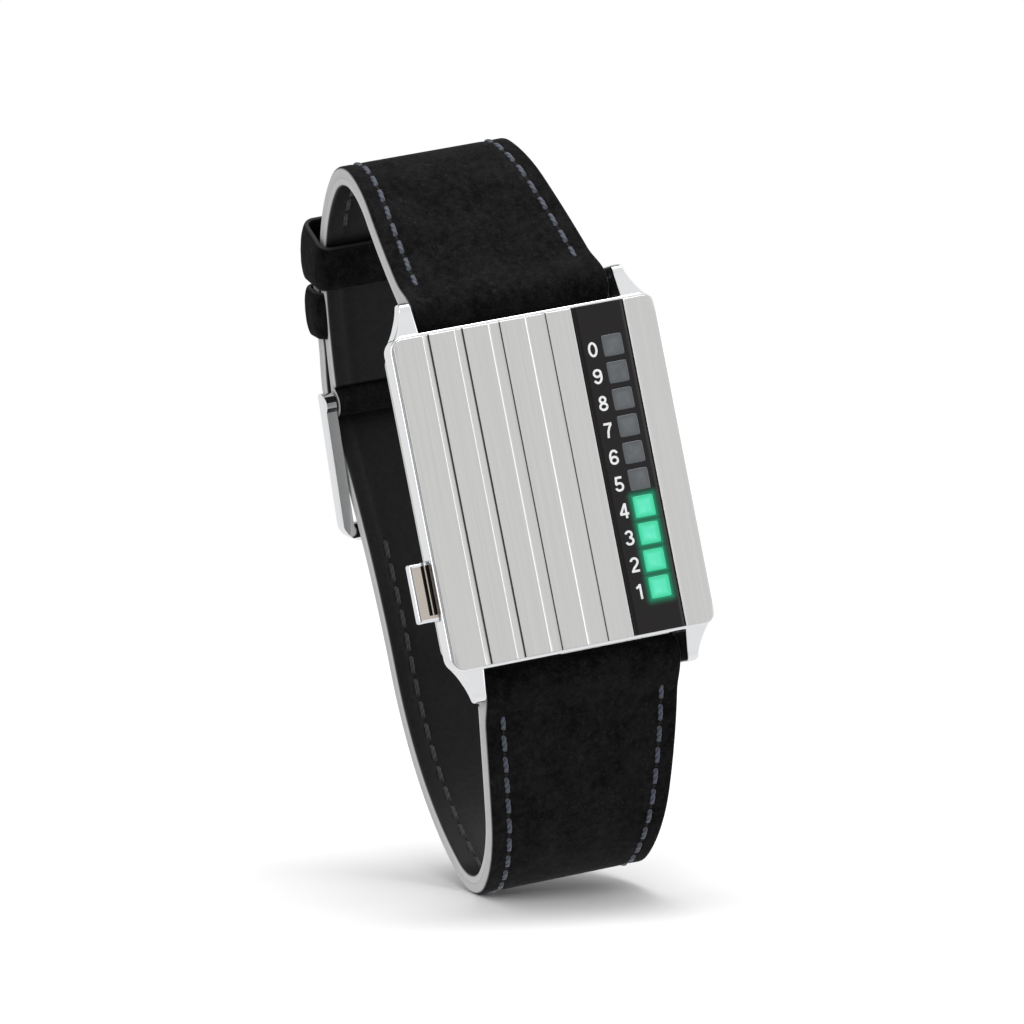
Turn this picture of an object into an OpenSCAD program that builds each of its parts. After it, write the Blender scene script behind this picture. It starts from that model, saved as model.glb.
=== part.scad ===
// Wristwatch with a column of ten square light cells beside a grooved front, on a buckled leather strap.
// X runs to 3 o'clock, Z to 12 o'clock, and the front looks along -Y. The origin is the centre of the back.

/* [Case] */
// Width of the brushed front
front_w = 34; // [33:0.5:37]
// Length of the brushed front
front_l = 40.5; // [40:0.5:44]
// Polished rim left showing round the front
rim_w = 0.4; // [0.3:0.05:0.8]
// Depth from the front plane down to the top of the rim
rim_drop = 0.45; // [0.3:0.05:0.6]
// Corner radius of the case
case_r = 2; // [1.9:0.1:2.4]
// Depth from the front plane to the foot of the straight sides
side_d = 4.4; // [4.4:0.1:5]
// Depth from the front plane to the seat of the back
body_d = 7.6; // [7.6:0.1:9]
// How far the underside draws in on its way to the back
tuck = 1.6; // [1.2:0.1:1.7]
// Thickness of the wall behind the front plates
front_wall = 0.8; // [0.7:0.05:1]
// Wall between the outline of the case and the movement space
side_wall = 3.4; // [3.2:0.1:3.8]

/* [Back] */
// Thickness of the screwed back
back_t = 1.8; // [1.5:0.1:2.4]
// Step from the underside's edge to the edge of the back
back_step = 0.2; // [0.1:0.05:0.4]
// Bevel round the outside of the back
back_bevel = 0.6; // [0.3:0.1:0.9]
// Radius of a back screw's head
screw_head_r = 0.75; // [0.65:0.05:0.85]
// Radius of a back screw's shank
screw_r = 0.45; // [0.35:0.05:0.5]
// Length of a back screw under its head
screw_l = 3; // [2.5:0.1:3.4]

/* [Lugs] */
// Width of a lug where it leaves the case
lug_w = 4.25; // [4:0.05:4.4]
// Distance from the case end to the spring bar axis
bar_out = 2.35; // [2.3:0.05:2.6]
// Depth of the spring bar axis behind the front plane
bar_d = 5.2; // [5:0.1:5.4]
// Reach of a lug past the case end
lug_reach = 4; // [3.9:0.1:4.4]
// Radius of the hollow on the outside of a lug
lug_hollow_r = 10; // [9:0.25:12]

/* [Front plates] */
// Corner radius of the brushed front
plate_r = 1.2; // [1:0.1:1.4]
// Thickness of the brushed plates
plate_t = 1; // [0.9:0.05:1.1]
// Width of the outer raised band at 9 o'clock
edge_band_w = 4; // [3.6:0.1:4.2]
// Width of the other raised bands
band_w = 3.4; // [3.2:0.05:3.5]
// Widths of the four grooves
groove_w = [0.7, 1, 1.4, 2.6]; // [0.6:0.1:3]
// Depths of the four grooves at their steep side
groove_d = [0.62, 0.56, 0.48, 0.32]; // [0.3:0.02:0.7]
// Depth of the grooves at their shallow side
groove_lip = 0.08; // [0.04:0.02:0.2]

/* [Display] */
// Width of the dark window
window_w = 6.65; // [6.4:0.05:6.8]
// Width of the brushed plate at 3 o'clock
right_plate_w = 3.95; // [3.8:0.05:4.2]
// Gap on either side of the window
window_gap = 0.1; // [0.05:0.05:0.2]
// How far the window stands proud of the front
window_proud = 0.12; // [0:0.02:0.3]
// Bevel along the long edges of the window
window_bevel = 0.45; // [0.2:0.05:0.6]
// Side of a square light cell
cell_w = 2.62; // [2.4:0.02:2.7]
// Distance from the end of the front to the column of cells
cell_end = 3.98; // [3.9:0.02:4.3]
// Offset of the column of cells from the middle of the window
cell_shift = 0.96; // [0.8:0.02:1.1]
// Wall of the mask outside the cells
mask_wall = 0.55; // [0.4:0.05:0.6]
// Thickness of a light diffuser
diffuser_t = 0.35; // [0.25:0.05:0.4]

/* [Movement] */
// Thickness of the circuit board
board_t = 0.8; // [0.6:0.1:1]
// Radius of the coin cell
cell_r = 10; // [9:0.25:10.25]
// Thickness of the coin cell
coin_t = 1.6; // [1.4:0.1:1.8]
// Wall of the movement holder
holder_wall = 0.9; // [0.7:0.1:1.2]

/* [Pusher] */
// Length of the pusher cap along the case
cap_l = 7.3; // [6.5:0.1:8]
// Depth of the pusher cap from front to back
cap_d = 2.6; // [2.2:0.05:2.6]
// How far the cap stands out of the case side
cap_out = 2.75; // [2:0.05:3.2]
// Bevel on the edges of the cap
cap_bevel = 0.35; // [0.2:0.05:0.5]
// Depth of the cap's middle behind the front plane
cap_mid = 2.45; // [2.45:0.05:2.7]
// Height of the pusher below the middle of the case, as a part of the front's length
cap_part = 0.254; // [0.22:0.002:0.27]
// Depth of the pocket that the cap sinks into
pocket_d = 1.2; // [1.1:0.05:1.3]
// Radius of the pusher's stem
stem_r = 0.55; // [0.5:0.05:0.6]
// Travel of the pusher
pusher_travel = 0.6; // [0.4:0.05:0.6]

/* [Strap] */
// Length of the short strap from its spring bar to the buckle's bar
short_l = 64; // [63:0.5:66]
// Length of the long strap from its spring bar to the buckle's front bar
long_l = 85.6; // [84:0.4:88]
// Gap between the strap and each lug
strap_side = 0.35; // [0.25:0.05:0.5]
// How much narrower the strap is at the buckle than at the lugs
strap_draw = 3.6; // [2.6:0.2:4.2]
// Thickness of the strap
strap_t = 2.5; // [2.3:0.1:2.7]
// Thickness of the lining, part of the whole
lining_t = 1.05; // [0.9:0.05:1.2]
// Radius of the leather fold round a spring bar between the lugs
fold_r = 2.2; // [2.1:0.05:2.25]
// Radius of the leather eye round the buckle's bar
eye_r = 1.75; // [1.7:0.05:1.8]
// Gap between the tail and the strap under it
tail_gap = 0.25; // [0.25:0.05:0.4]
// Length of the strap's end inside the free keeper
tail_past = 5.6; // [4:0.2:6]
// Distance from the buckle's bar to where the tail lies flat again
tail_back = 7; // [6:0.25:8]
// Distance from one strap hole to the next
hole_pitch = 6.5; // [6:0.5:7]
// Radius of a strap hole
hole_r = 1; // [0.8:0.1:1.1]

/* [Keepers] */
// Thickness of the keepers' leather
keeper_t = 1.1; // [0.9:0.1:1.3]
// Length of the fixed keeper along the strap
fixed_keeper_l = 6; // [5:0.2:6.2]
// Length of the free keeper along the strap
free_keeper_l = 6.6; // [6:0.2:7]
// Distance from the buckle's bar to the fixed keeper
fixed_keeper_at = 8.2; // [7.8:0.2:9]
// Gap between the two keepers
keeper_gap = 0.9; // [0.7:0.1:1.4]
// Play of the free keeper all round
keeper_play = 0.35; // [0.3:0.05:0.4]

/* [Buckle] */
// Distance from the buckle's bar to its front bar
frame_l = 16.4; // [16:0.2:18]
// Thickness of the buckle's side arms
arm_t = 1.5; // [1.4:0.1:2]
// Radius of the front bar
front_bar_r = 1.25; // [1.1:0.05:1.4]
// Radius of the eyes at the ends of the side arms
ear_r = 1.5; // [1.3:0.1:1.6]
// Corner radius of the buckle frame
frame_r = 3; // [2.5:0.1:4]
// Lean of the buckle frame away from the wrist, in degrees
frame_lean = 8; // [6:0.5:9]
// Width of the tongue
tongue_w = 1.8; // [1.6:0.1:2]
// Thickness of the tongue
tongue_t = 1.2; // [1:0.1:1.3]

/* [Spring bars] */
// Radius of a spring bar's tube
tube_r = 0.75; // [0.7:0.05:0.8]
// Radius of a spring bar's pins
pin_r = 0.4; // [0.35:0.05:0.45]
// Radius of the collar on a pin
collar_r = 0.62; // [0.55:0.01:0.65]
// How far a pin reaches into its lug
pin_in = 1; // [0.8:0.05:1.1]

/* [Hidden] */
$fn = 48;
STEEL = "#d9dbde";
BRUSHED = "#c9c9c6";
BLACK = "#1c1b1c";
SUEDE = "#2b292a";
LINING = "#3a383a";
BOARD = "#2f6b46";
cells = 10;
lit = 4;
spare = 1;            // how far a cutter runs past what it cuts
slip = 0.05;          // running clearance of a shaft in its hole
seat = 0.1;           // clearance of a piece that drops into a pocket
arc_step = 0.9;       // spacing of points along the strap

// Case, from the sizes above
case_w = front_w + 2 * rim_w;
case_l = front_l + 2 * rim_w;
front_y = -(body_d + back_t);
rim_y = front_y + rim_drop;
body_y = -back_t;
plate_y = front_y + plate_t;
room_y = plate_y + front_wall;
room_w = case_w - 2 * side_wall;
room_l = case_l - 2 * side_wall - 0.1;
room_r = case_r + 1;
foot_w = case_w - 2 * tuck;
foot_l = case_l - 2 * tuck;
foot_r = case_r - tuck;
back_w = foot_w - 2 * back_step;
back_l = foot_l - 2 * back_step;
back_r = foot_r + 0.9;
back_lip = back_r - 0.8;
screw_x = foot_w / 2 - tuck;
screw_z = foot_l / 2 - tuck;
gasket_in = 0.25;
gasket_w = 0.55;
gasket_out = gasket_in + gasket_w;
gasket_t = 0.5;
countersink = 0.5;

// Lugs and spring bars
bar_z = case_l / 2 + bar_out;
bar_y = front_y + bar_d;
lug_in = case_w / 2 - lug_w;
lug_gap = 2 * lug_in;
tube_end = lug_in - 1.7;
pin_hole_l = pin_in + 0.3;
collar_l = 0.4;
collar_x = lug_in - 0.15 - collar_l;
pin_back = 6;         // how far a pin reaches back into its tube
pin_travel = 0.95;

// Display
window_right = front_w / 2 - right_plate_w - window_gap;
window_mid = window_right - window_w / 2;
left_end = window_right - window_w - window_gap;
cell_x = window_mid + cell_shift;
cell_pitch = (front_l - 2 * cell_end - cell_w) / (cells - 1);
first_z = (cells - 1) / 2 * cell_pitch;
mask_w = cell_w + 2 * mask_wall;
mask_l = (cells - 1) * cell_pitch + cell_w + 2 * mask_wall;

// Movement
board_y = room_y;
board_back = board_y + board_t;
holder_back = body_y - 0.35;
coin_back = holder_back - 0.05;
coin_front = coin_back - coin_t;
coin_x = 1.2;
coin_z = 4.6;
clip_t = 0.2;

// Pusher
cap_drop = cap_part * front_l;
cap_y = front_y + cap_mid;
side_x = case_w / 2;
pocket_floor = side_x - pocket_d;
cap_foot = side_x - 0.1;
stem_end = pocket_floor - 4;
pusher_gap = 0.05;    // gap left to the switch at full travel
tube_out_r = stem_r + 0.5;
tube_in_x = pocket_floor - 2.8;
ring_r = 0.19;
switch_x = stem_end - pusher_travel - pusher_gap;

// Strap runs from each spring bar: [share of the length, turn in degrees], each run with one curvature
short_start = 39.4;
short_runs = [[0.26875, -0.4], [0.13281, 26.3], [0.10156, 49.4], [0.27344, 44.1], [0.22344, 11]];
long_start = 25;
long_runs = [[0.21028, 9.9], [0.14603, 33.4], [0.10164, 65.1], [0.19509, 29.2], [0.13902, 17.8],
    [0.20794, -10.2]];
function scaled(runs, l) = [for (r = runs) [r[0] * l, r[1]]];
short_way = scaled(short_runs, short_l);
long_way = scaled(long_runs, long_l);
strap_w = lug_gap - 2 * strap_side;
strap_end_w = strap_w - strap_draw;
bend_start = short_way[0][0] + short_way[1][0] + short_way[2][0];
upper_in = -strap_t / 2 + lining_t;   // where upper and lining meet, from the middle of the strap
tail_off = strap_t + tail_gap;        // middle of the tail from the middle of the strap under it
lining_back = eye_r + 0.3;            // how far the lining stays from the buckle bar's axis
lining_start = fold_r + 0.3;          // how far the lining stays from a spring bar's axis at the lugs
fold = 0.45;          // how far from a bar's axis the flat leather runs into its eye
fold_ease = 5;        // length over which the fold at the lugs dies away into the flat strap

// A place along runs of [length, turn]: [y, z, heading], heading turned from +Z towards +Y
function in_run(p, h, run, s) = let (a = run[1] * s / run[0], k = run[1] * PI / 180 / run[0])
    abs(run[1]) < 0.01 ? [p[0] + s * sin(h), p[1] + s * cos(h), h]
    : [p[0] + (cos(h) - cos(h + a)) / k, p[1] + (sin(h + a) - sin(h)) / k, h + a];
function along(p, h, runs, s, i = 0) = s <= runs[i][0] || i == len(runs) - 1
    ? in_run(p, h, runs[i], s)
    : let (q = in_run(p, h, runs[i], runs[i][0])) along([q[0], q[1]], q[2], runs, s - runs[i][0], i + 1);
function short_at(s) = along([bar_y, bar_z], short_start, short_way, s);
function long_free(s) = let (q = along([bar_y, bar_z], long_start, long_way, s)) [q[0], -q[1], 180 - q[2]];
function spaced(s0, s1) = let (n = ceil(abs(s1 - s0) / arc_step)) [for (k = [0:n]) s0 + (s1 - s0) * k / n];
function short_path(s0, s1) = [for (s = spaced(s0, s1)) short_at(s)];

// A curve between two places that leaves and arrives along their headings
function bridge(a, b, pull = 0.36) = let (
        d = norm([b[0] - a[0], b[1] - a[1]]), n = ceil(d / arc_step),
        p0 = [a[0], a[1]], p3 = [b[0], b[1]],
        p1 = p0 + d * pull * [sin(a[2]), cos(a[2])], p2 = p3 - d * 0.36 * [sin(b[2]), cos(b[2])])
    [for (k = [1:n]) let (t = k / n, u = 1 - t,
        p = u * u * u * p0 + 3 * u * u * t * p1 + 3 * u * t * t * p2 + t * t * t * p3,
        v = u * u * (p1 - p0) + 2 * u * t * (p2 - p1) + t * t * (p3 - p2)) [p[0], p[1], atan2(v[0], v[1])]];

// Points beside a path. hand is 1 on the short strap and -1 on the long one, so that off > 0 is outwards.
function beside(path, off, hand) = [for (q = path)
    [q[0] - hand * off * cos(q[2]), q[1] + hand * off * sin(q[2])]];
function reversed(list) = [for (i = [len(list) - 1:-1:0]) list[i]];
function band(path, lo, hi, hand) = hand > 0
    ? concat(beside(path, lo, hand), reversed(beside(path, hi, hand)))
    : concat(beside(path, hi, hand), reversed(beside(path, lo, hand)));
// The upper leather's outline, whose outer side rises to the fold round the bar at the lugs
function fold_off(q) = let (
        d = norm([q[0] - bar_y, abs(q[1]) - bar_z]) - fold, t = max(0, min(1, 1 - d / fold_ease)))
    strap_t / 2 + (sqrt(fold_r * fold_r - fold * fold) - strap_t / 2) * t * t * (3 - 2 * t);
function outer_side(path, hand) = [for (q = path) beside([q], fold_off(q), hand)[0]];
function upper_band(path, hand) = hand > 0
    ? concat(beside(path, upper_in, hand), reversed(outer_side(path, hand)))
    : concat(outer_side(path, hand), reversed(beside(path, upper_in, hand)));

// Buckle place and the long strap's way through it
buckle = short_at(short_l);
slope = 25;
tongue_angle = 128;
arm_in = strap_end_w / 2 + 0.3;
arm_out = arm_in + arm_t;
function in_buckle(y, z, h) = [buckle[0] + y * cos(frame_lean) - z * sin(frame_lean),
    buckle[1] + y * sin(frame_lean) + z * cos(frame_lean), h - frame_lean];
bar_play = 0.43;      // gap between the front bar and the strap under it
under_bar = in_buckle(-(front_bar_r + bar_play + strap_t / 2), -frame_l, 0);
// The long strap's runs, drawn evenly towards the buckle so that the loop always closes
long_gap = let (q = long_free(long_l)) [under_bar[0] - q[0], under_bar[1] - q[1]];
function long_at(s) = let (q = long_free(s), t = s / long_l)
    [q[0] + long_gap[0] * t * t, q[1] + long_gap[1] * t * t, q[2]];
past_eye = let (r = eye_r + 0.25 + strap_t / 2) in_buckle(r * cos(slope), -r * sin(slope), slope);
function on_tail(s) = let (q = short_at(s), p = beside([q], tail_off, 1)[0]) [p[0], p[1], q[2] - 180];
tail_start = short_l - tail_back;
fixed_keeper_end = short_l - fixed_keeper_at;
fixed_keeper_start = fixed_keeper_end - fixed_keeper_l;
free_keeper_end = fixed_keeper_start - keeper_gap;
free_keeper_start = free_keeper_end - free_keeper_l;
tail_tip = free_keeper_end - tail_past;
long_path = concat([for (s = spaced(fold, long_l)) long_at(s)],
    bridge(long_at(long_l), past_eye), bridge(past_eye, on_tail(tail_start)),
    [for (s = spaced(tail_start - arc_step, tail_tip)) on_tail(s)]);

// Extrudes an outline of [x, z] from y0 back to y1
module slab(y0, y1) translate([0, y1, 0]) rotate([90, 0, 0]) linear_extrude(y1 - y0) children();
// Extrudes an outline of [y, z] from x0 across to x1
module rail(x0, x1) translate([x0, 0, 0]) rotate([90, 0, 90]) linear_extrude(x1 - x0) children();
// Extrudes an outline of [x, y] from z0 up to z1
module post(z0, z1) translate([0, 0, z0]) linear_extrude(z1 - z0) children();
// Rod along X, Y or Z
module rod_x(r, x0, x1) translate([x0, 0, 0]) rotate([0, 90, 0]) cylinder(h = x1 - x0, r = r);
module rod_y(r, y0, y1) translate([0, y0, 0]) rotate([-90, 0, 0]) cylinder(h = y1 - y0, r = r);
// Rectangle with round corners, about the origin
module rounded(w, l, r) {
    square([w - 2 * r, l], center = true);
    square([w, l - 2 * r], center = true);
    for (x = [-1, 1], z = [-1, 1]) translate([x * (w / 2 - r), z * (l / 2 - r)]) circle(r);
}
// Slice of a body whose rounded outline draws in by inset from y_wide to y_small
module drawn_in(w, l, r, inset, y_wide, y_small) {
    rail(-w / 2 + r, w / 2 - r) polygon([[y_wide, -l / 2], [y_small, inset - l / 2],
        [y_small, l / 2 - inset], [y_wide, l / 2]]);
    post(-l / 2 + r, l / 2 - r) polygon([[-w / 2, y_wide], [w / 2, y_wide],
        [w / 2 - inset, y_small], [inset - w / 2, y_small]]);
    for (x = [-1, 1], z = [-1, 1]) translate([x * (w / 2 - r), y_wide, z * (l / 2 - r)])
        rotate([y_small < y_wide ? 90 : -90, 0, 0])
            cylinder(h = abs(y_small - y_wide), r1 = r, r2 = r - inset);
}
module mirrored_x() { children(); mirror([1, 0, 0]) children(); }
module mirrored_z() { children(); mirror([0, 0, 1]) children(); }

// One lug: its side view, cut to its front view with the hollow on its outside, and to the tuck
lug_shoulder_r = 2.6; // round of the shoulder between the case's side and the hollow
lug_corner = 0.25;    // how much further along the shoulder lies than one that ends with the case
lug_turn = 38;        // where the shoulder passes into the hollow, in degrees
lug_round = 0.45;     // round of a lug's tip, seen from the front
module lug_outline(tip) difference() {
    end = case_l / 2;
    corner = [side_x - lug_shoulder_r, end - lug_shoulder_r + lug_corner];
    reach = lug_shoulder_r + lug_hollow_r;
    hollow = corner + reach * [cos(lug_turn), sin(lug_turn)];
    top = tip - lug_round;
    top_w = hollow[0] - sqrt(pow(lug_hollow_r, 2) - pow(hollow[1] - top, 2)) - lug_in;
    union() {
        translate([lug_in, end - 3]) square([side_x - lug_in, corner[1] - end + 3]);
        translate(corner) circle(lug_shoulder_r);
        translate([lug_in, corner[1]]) square([lug_shoulder_r * cos(lug_turn) + corner[0] - lug_in,
            top - corner[1]]);
        for (x = [lug_round, top_w - lug_round]) translate([lug_in + x, top]) circle(lug_round);
        translate([lug_in + lug_round, top]) square([top_w - 2 * lug_round, lug_round]);
    }
    translate(hollow) circle(lug_hollow_r);
}
module lug() {
    end = case_l / 2;
    tip = end + lug_reach;
    round_f = 1.1;
    round_b = 1.6;
    back = front_y + body_d - 0.3;
    front_round = [for (a = [0:15:75])
        [front_y + 1.75 + round_f * (1 - cos(a)), tip - round_f * (1 - sin(a))]];
    back_round = [for (a = [0:15:90]) [back - round_b * (1 - sin(a)), tip - round_b * (1 - cos(a))]];
    intersection() {
        rail(lug_in, side_x) polygon(concat([[rim_y, end - 3], [rim_y, end - 0.2]], front_round,
            back_round, [[back, end - 3]]));
        slab(front_y, body_y) lug_outline(tip);
        post(0, 2 * end) polygon([[lug_in, front_y], [side_x, front_y], [side_x, front_y + side_d],
            [side_x - tuck, body_y], [lug_in, body_y]]);
    }
}

module case_body() color(STEEL) difference() {
    union() {
        drawn_in(case_w, case_l, case_r, rim_w * 0.75, rim_y + rim_w * 0.75, rim_y);
        slab(rim_y + rim_w * 0.75, front_y + side_d) rounded(case_w, case_l, case_r);
        drawn_in(case_w, case_l, case_r, tuck, front_y + side_d, body_y);
        mirrored_x() mirrored_z() lug();
    }
    // Seat of the front plates, opening of the display and room for the movement
    slab(front_y - spare, plate_y) rounded(front_w, front_l, plate_r);
    translate([cell_x, 0, 0]) slab(front_y, room_y + spare)
        square([mask_w + 2 * slip, mask_l + 2 * slip], center = true);
    slab(room_y, body_y + spare) rounded(room_w, room_l, room_r);
    // Groove for the gasket and holes for the screws of the back
    slab(body_y - gasket_t, body_y + spare) gasket_outline();
    mirrored_x() mirrored_z() translate([screw_x, 0, screw_z])
        rod_y(screw_r, body_y - screw_l, body_y + spare);
    // Blind holes for the pins of the spring bars
    mirrored_x() mirrored_z() translate([0, bar_y, bar_z])
        rod_x(pin_r + slip, lug_in - spare, lug_in + pin_hole_l);
    // Pocket, bore and relief of the pusher
    translate([0, cap_y, -cap_drop]) {
        translate([-side_x - spare, -cap_d / 2 - seat, -cap_l / 2 - seat])
            cube([pocket_d + spare, cap_d + 2 * seat, cap_l + 2 * seat]);
        rod_x(tube_out_r, -pocket_floor - spare, -room_w / 2 + spare);
        rod_x(tube_out_r + 0.15, -room_w / 2 - slip, -stem_end + spare);
    }
}

module gasket_outline() difference() {
    rounded(room_w + 2 * gasket_out, room_l + 2 * gasket_out, room_r + gasket_out);
    rounded(room_w + 2 * gasket_in, room_l + 2 * gasket_in, room_r + gasket_in);
}
module back_gasket() color(BLACK) slab(body_y - gasket_t, body_y) gasket_outline();

module case_back() color(STEEL) difference() {
    union() {
        slab(body_y, -back_bevel) rounded(back_w, back_l, back_r);
        drawn_in(back_w, back_l, back_r, min(back_bevel, back_lip), -back_bevel, 0);
    }
    mirrored_x() mirrored_z() translate([screw_x, 0, screw_z]) {
        rod_y(screw_head_r + slip, -countersink, spare);
        rod_y(screw_r + slip, body_y - spare, spare);
    }
}
module back_screws() color(STEEL) mirrored_x() mirrored_z() translate([screw_x, 0, screw_z]) {
    rod_y(screw_head_r, -countersink, -slip);
    rod_y(screw_r, body_y - screw_l + seat, -slip);
}

// Start of each groove, from the raised bands before it
function groove_x(i) = -front_w / 2 + edge_band_w + (i == 0 ? 0 : i * band_w + sum_to(i - 1));
function sum_to(i) = i < 0 ? 0 : groove_w[i] + sum_to(i - 1);
groove_points = [for (i = [len(groove_w) - 1:-1:0]) for (p = [
    [groove_x(i) + groove_w[i], 0], [groove_x(i) + groove_w[i], groove_d[i]],
    [groove_x(i), groove_lip], [groove_x(i), 0]]) [p[0], front_y + p[1]]];
module plate_blank(x0, x1) intersection() {
    slab(front_y, plate_y) rounded(front_w, front_l, plate_r);
    translate([x0, front_y - spare, -front_l]) cube([x1 - x0, plate_t + 2 * spare, 2 * front_l]);
}
// Brushed plate whose five raised bands stand over four grooves with leaning floors
module face_plate_left() color(BRUSHED) intersection() {
    plate_blank(-front_w, left_end);
    post(-front_l, front_l) polygon(concat([[-front_w, front_y], [-front_w, plate_y], [left_end, plate_y],
        [left_end, front_y]], groove_points));
}
module face_plate_right() color(BRUSHED) plate_blank(window_right + window_gap, front_w);

module window_glass() color("#101012") {
    y = front_y - window_proud;
    post(-front_l / 2, front_l / 2) translate([window_mid, 0]) polygon([
        [-window_w / 2, plate_y], [window_w / 2, plate_y], [window_w / 2, y + window_bevel / 2],
        [window_w / 2 - window_bevel, y], [window_bevel - window_w / 2, y],
        [-window_w / 2, y + window_bevel / 2]]);
}

module each_cell() for (i = [0:cells - 1]) translate([cell_x, 0, first_z - i * cell_pitch]) children();
module led_mask() color(BLACK) difference() {
    translate([cell_x, 0, 0]) slab(plate_y, room_y) square([mask_w, mask_l], center = true);
    each_cell() slab(plate_y - spare, room_y + spare) square(cell_w, center = true);
}
module led_diffusers() color("#8f9495") each_cell()
    slab(plate_y, plate_y + diffuser_t) square(cell_w, center = true);
module led_chips() color("#e8f7ea") each_cell()
    slab(plate_y + diffuser_t + slip, board_y) square([1.2, 0.8], center = true);

module circuit_board() color(BOARD) difference() {
    slab(board_y, board_back) rounded(room_w - 4 * seat, room_l - 4 * seat, room_r - 2 * seat);
    translate([-room_w, board_y - spare, -cap_drop - 1.7])
        cube([room_w - stem_end + 2.6, board_t + 2 * spare, 3.4]);
}
chip_w = 5.6;
chip_x = -8.2;
chip_z = -2.4;
module driver_chip() color(BLACK) translate([chip_x, 0, chip_z]) {
    slab(board_back, board_back + 0.9) square(chip_w, center = true);
    for (s = [-1, 1], i = [-3:3]) translate([s * (chip_w / 2 + 0.3), 0, i * 0.7])
        slab(board_back, board_back + 0.3) square([0.6, 0.3], center = true);
}
can_r = 0.95;
can_x = 6;
can_z = -11.5;
module quartz_can() color(STEEL) translate([can_x, board_back + can_r, can_z]) rod_x(can_r, -3, 3);
switch_l = 3.2;
module push_switch() color("#33353a") translate([0, 0, -cap_drop]) {
    translate([-switch_x + 0.5, board_back, -switch_l / 2]) cube([2.6, 1.3, switch_l]);
    translate([-switch_x, board_back + 0.05, -0.8]) cube([0.5, 0.9, 1.6]);
}

// Moulded holder with pockets for everything on the board and for the coin cell
module module_holder() color("#4a4c50") difference() {
    slab(board_back, holder_back) rounded(room_w - 4 * seat, room_l - 4 * seat, room_r - 2 * seat);
    translate([coin_x, 0, coin_z]) rod_y(cell_r + seat, coin_front, holder_back + spare);
    translate([chip_x, 0, chip_z]) slab(board_back - spare, board_back + 1.1)
        square(chip_w + 1.6, center = true);
    translate([can_x, 0, can_z]) slab(board_back - spare, board_back + 2.1)
        square([6.6, 2.4], center = true);
    translate([-room_w, board_back - spare, -cap_drop - switch_l / 2 - 0.3])
        cube([room_w - switch_x + 3.5, spare + 1.6, switch_l + 0.6]);
    translate([contact_x - 1.7, board_back - spare, contact_z - 0.7])
        cube([3.4, coin_front - board_back + 2 * spare, 3.2]);
    translate([coin_x - 3.1, coin_back, -room_l / 2 + holder_wall]) cube([6.2, 2, room_l - 2 * holder_wall]);
}
module battery() color(STEEL) translate([coin_x, 0, coin_z]) {
    rod_y(cell_r - 0.9, coin_front, coin_front + 0.3);
    rod_y(cell_r, coin_front + 0.3, coin_back);
}
contact_x = 1.2;
contact_z = 3;
// Bent strip from the board up to the underside of the coin cell
module battery_contact() color("#c8a45a") rail(contact_x - 1.5, contact_x + 1.5) translate([0, contact_z])
    polygon([[board_back, -0.4], [board_back + clip_t, -0.4], [board_back + clip_t, 1],
        [coin_front - clip_t, 1], [coin_front - clip_t, -0.4], [coin_front, -0.4],
        [coin_front, 1 + clip_t], [board_back, 1 + clip_t]]);
// Strap over the coin cell, with a hook down into the holder at each end
module battery_clip() color(STEEL) translate([coin_x - 3, coin_back, -room_l / 2 + holder_wall + seat])
    cube([6, clip_t, room_l - 2 * holder_wall - 2 * seat]);

// Cap with bevelled edges on a round stem that has a groove for its clip
module pusher() color(STEEL) translate([0, cap_y, -cap_drop]) difference() {
    union() {
        cap_block();
        rod_x(stem_r, -cap_foot - spare, -stem_end);
    }
    cap_panel();
    translate([-clip_x, 0, 0]) difference() {
        rod_x(stem_r + spare, 0, clip_w + slip);
        rod_x(stem_r - 0.2, -spare, clip_w + spare);
    }
}
clip_w = 0.25;
clip_x = tube_in_x - slip;
cap_face = side_x + cap_out;
function bevelled(w, l, c) = [[c - w / 2, -l / 2], [w / 2 - c, -l / 2], [w / 2, c - l / 2],
    [w / 2, l / 2 - c], [w / 2 - c, l / 2], [c - w / 2, l / 2], [-w / 2, l / 2 - c], [-w / 2, c - l / 2]];
module cap_block() intersection() {
    rail(-cap_face, -cap_foot) polygon(bevelled(cap_d, cap_l, cap_bevel));
    slab(-cap_d, cap_d) polygon([[-cap_face, cap_bevel - cap_l / 2], [cap_bevel - cap_face, -cap_l / 2],
        [-cap_foot, -cap_l / 2], [-cap_foot, cap_l / 2], [cap_bevel - cap_face, cap_l / 2],
        [-cap_face, cap_l / 2 - cap_bevel]]);
    post(-cap_l, cap_l) polygon([[-cap_face, cap_bevel - cap_d / 2], [cap_bevel - cap_face, -cap_d / 2],
        [-cap_foot, -cap_d / 2], [-cap_foot, cap_d / 2], [cap_bevel - cap_face, cap_d / 2],
        [-cap_face, cap_d / 2 - cap_bevel]]);
}
// Sunk panel on the front of the cap and the two upright grooves beside its plain band
module cap_panel() {
    x = -cap_face + cap_bevel + 0.1;
    y = -cap_d / 2;
    half = cap_l / 2 - cap_bevel - 0.1;
    translate([x, y - spare, -half]) cube([cap_face - x, spare + panel_deep, 2 * half]);
    for (g = [[1.1, 0.45], [1.7, 0.5]]) rail(x + g[0], x + g[0] + g[1]) polygon([[y, 0.35 - half],
        [y + groove_deep, 0.75 - half], [y + groove_deep, half], [y, half]]);
}
panel_deep = 0.12;
groove_deep = 0.5;
module pusher_tube() color("#b9a066") translate([0, cap_y, -cap_drop]) difference() {
    rod_x(tube_out_r, -pocket_floor, -tube_in_x);
    rod_x(stem_r + slip, -pocket_floor - spare, -tube_in_x + spare);
    rod_x(stem_r + 0.02 + 2 * ring_r, -pocket_floor - spare, -pocket_floor + 2 * ring_r);
}
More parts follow.
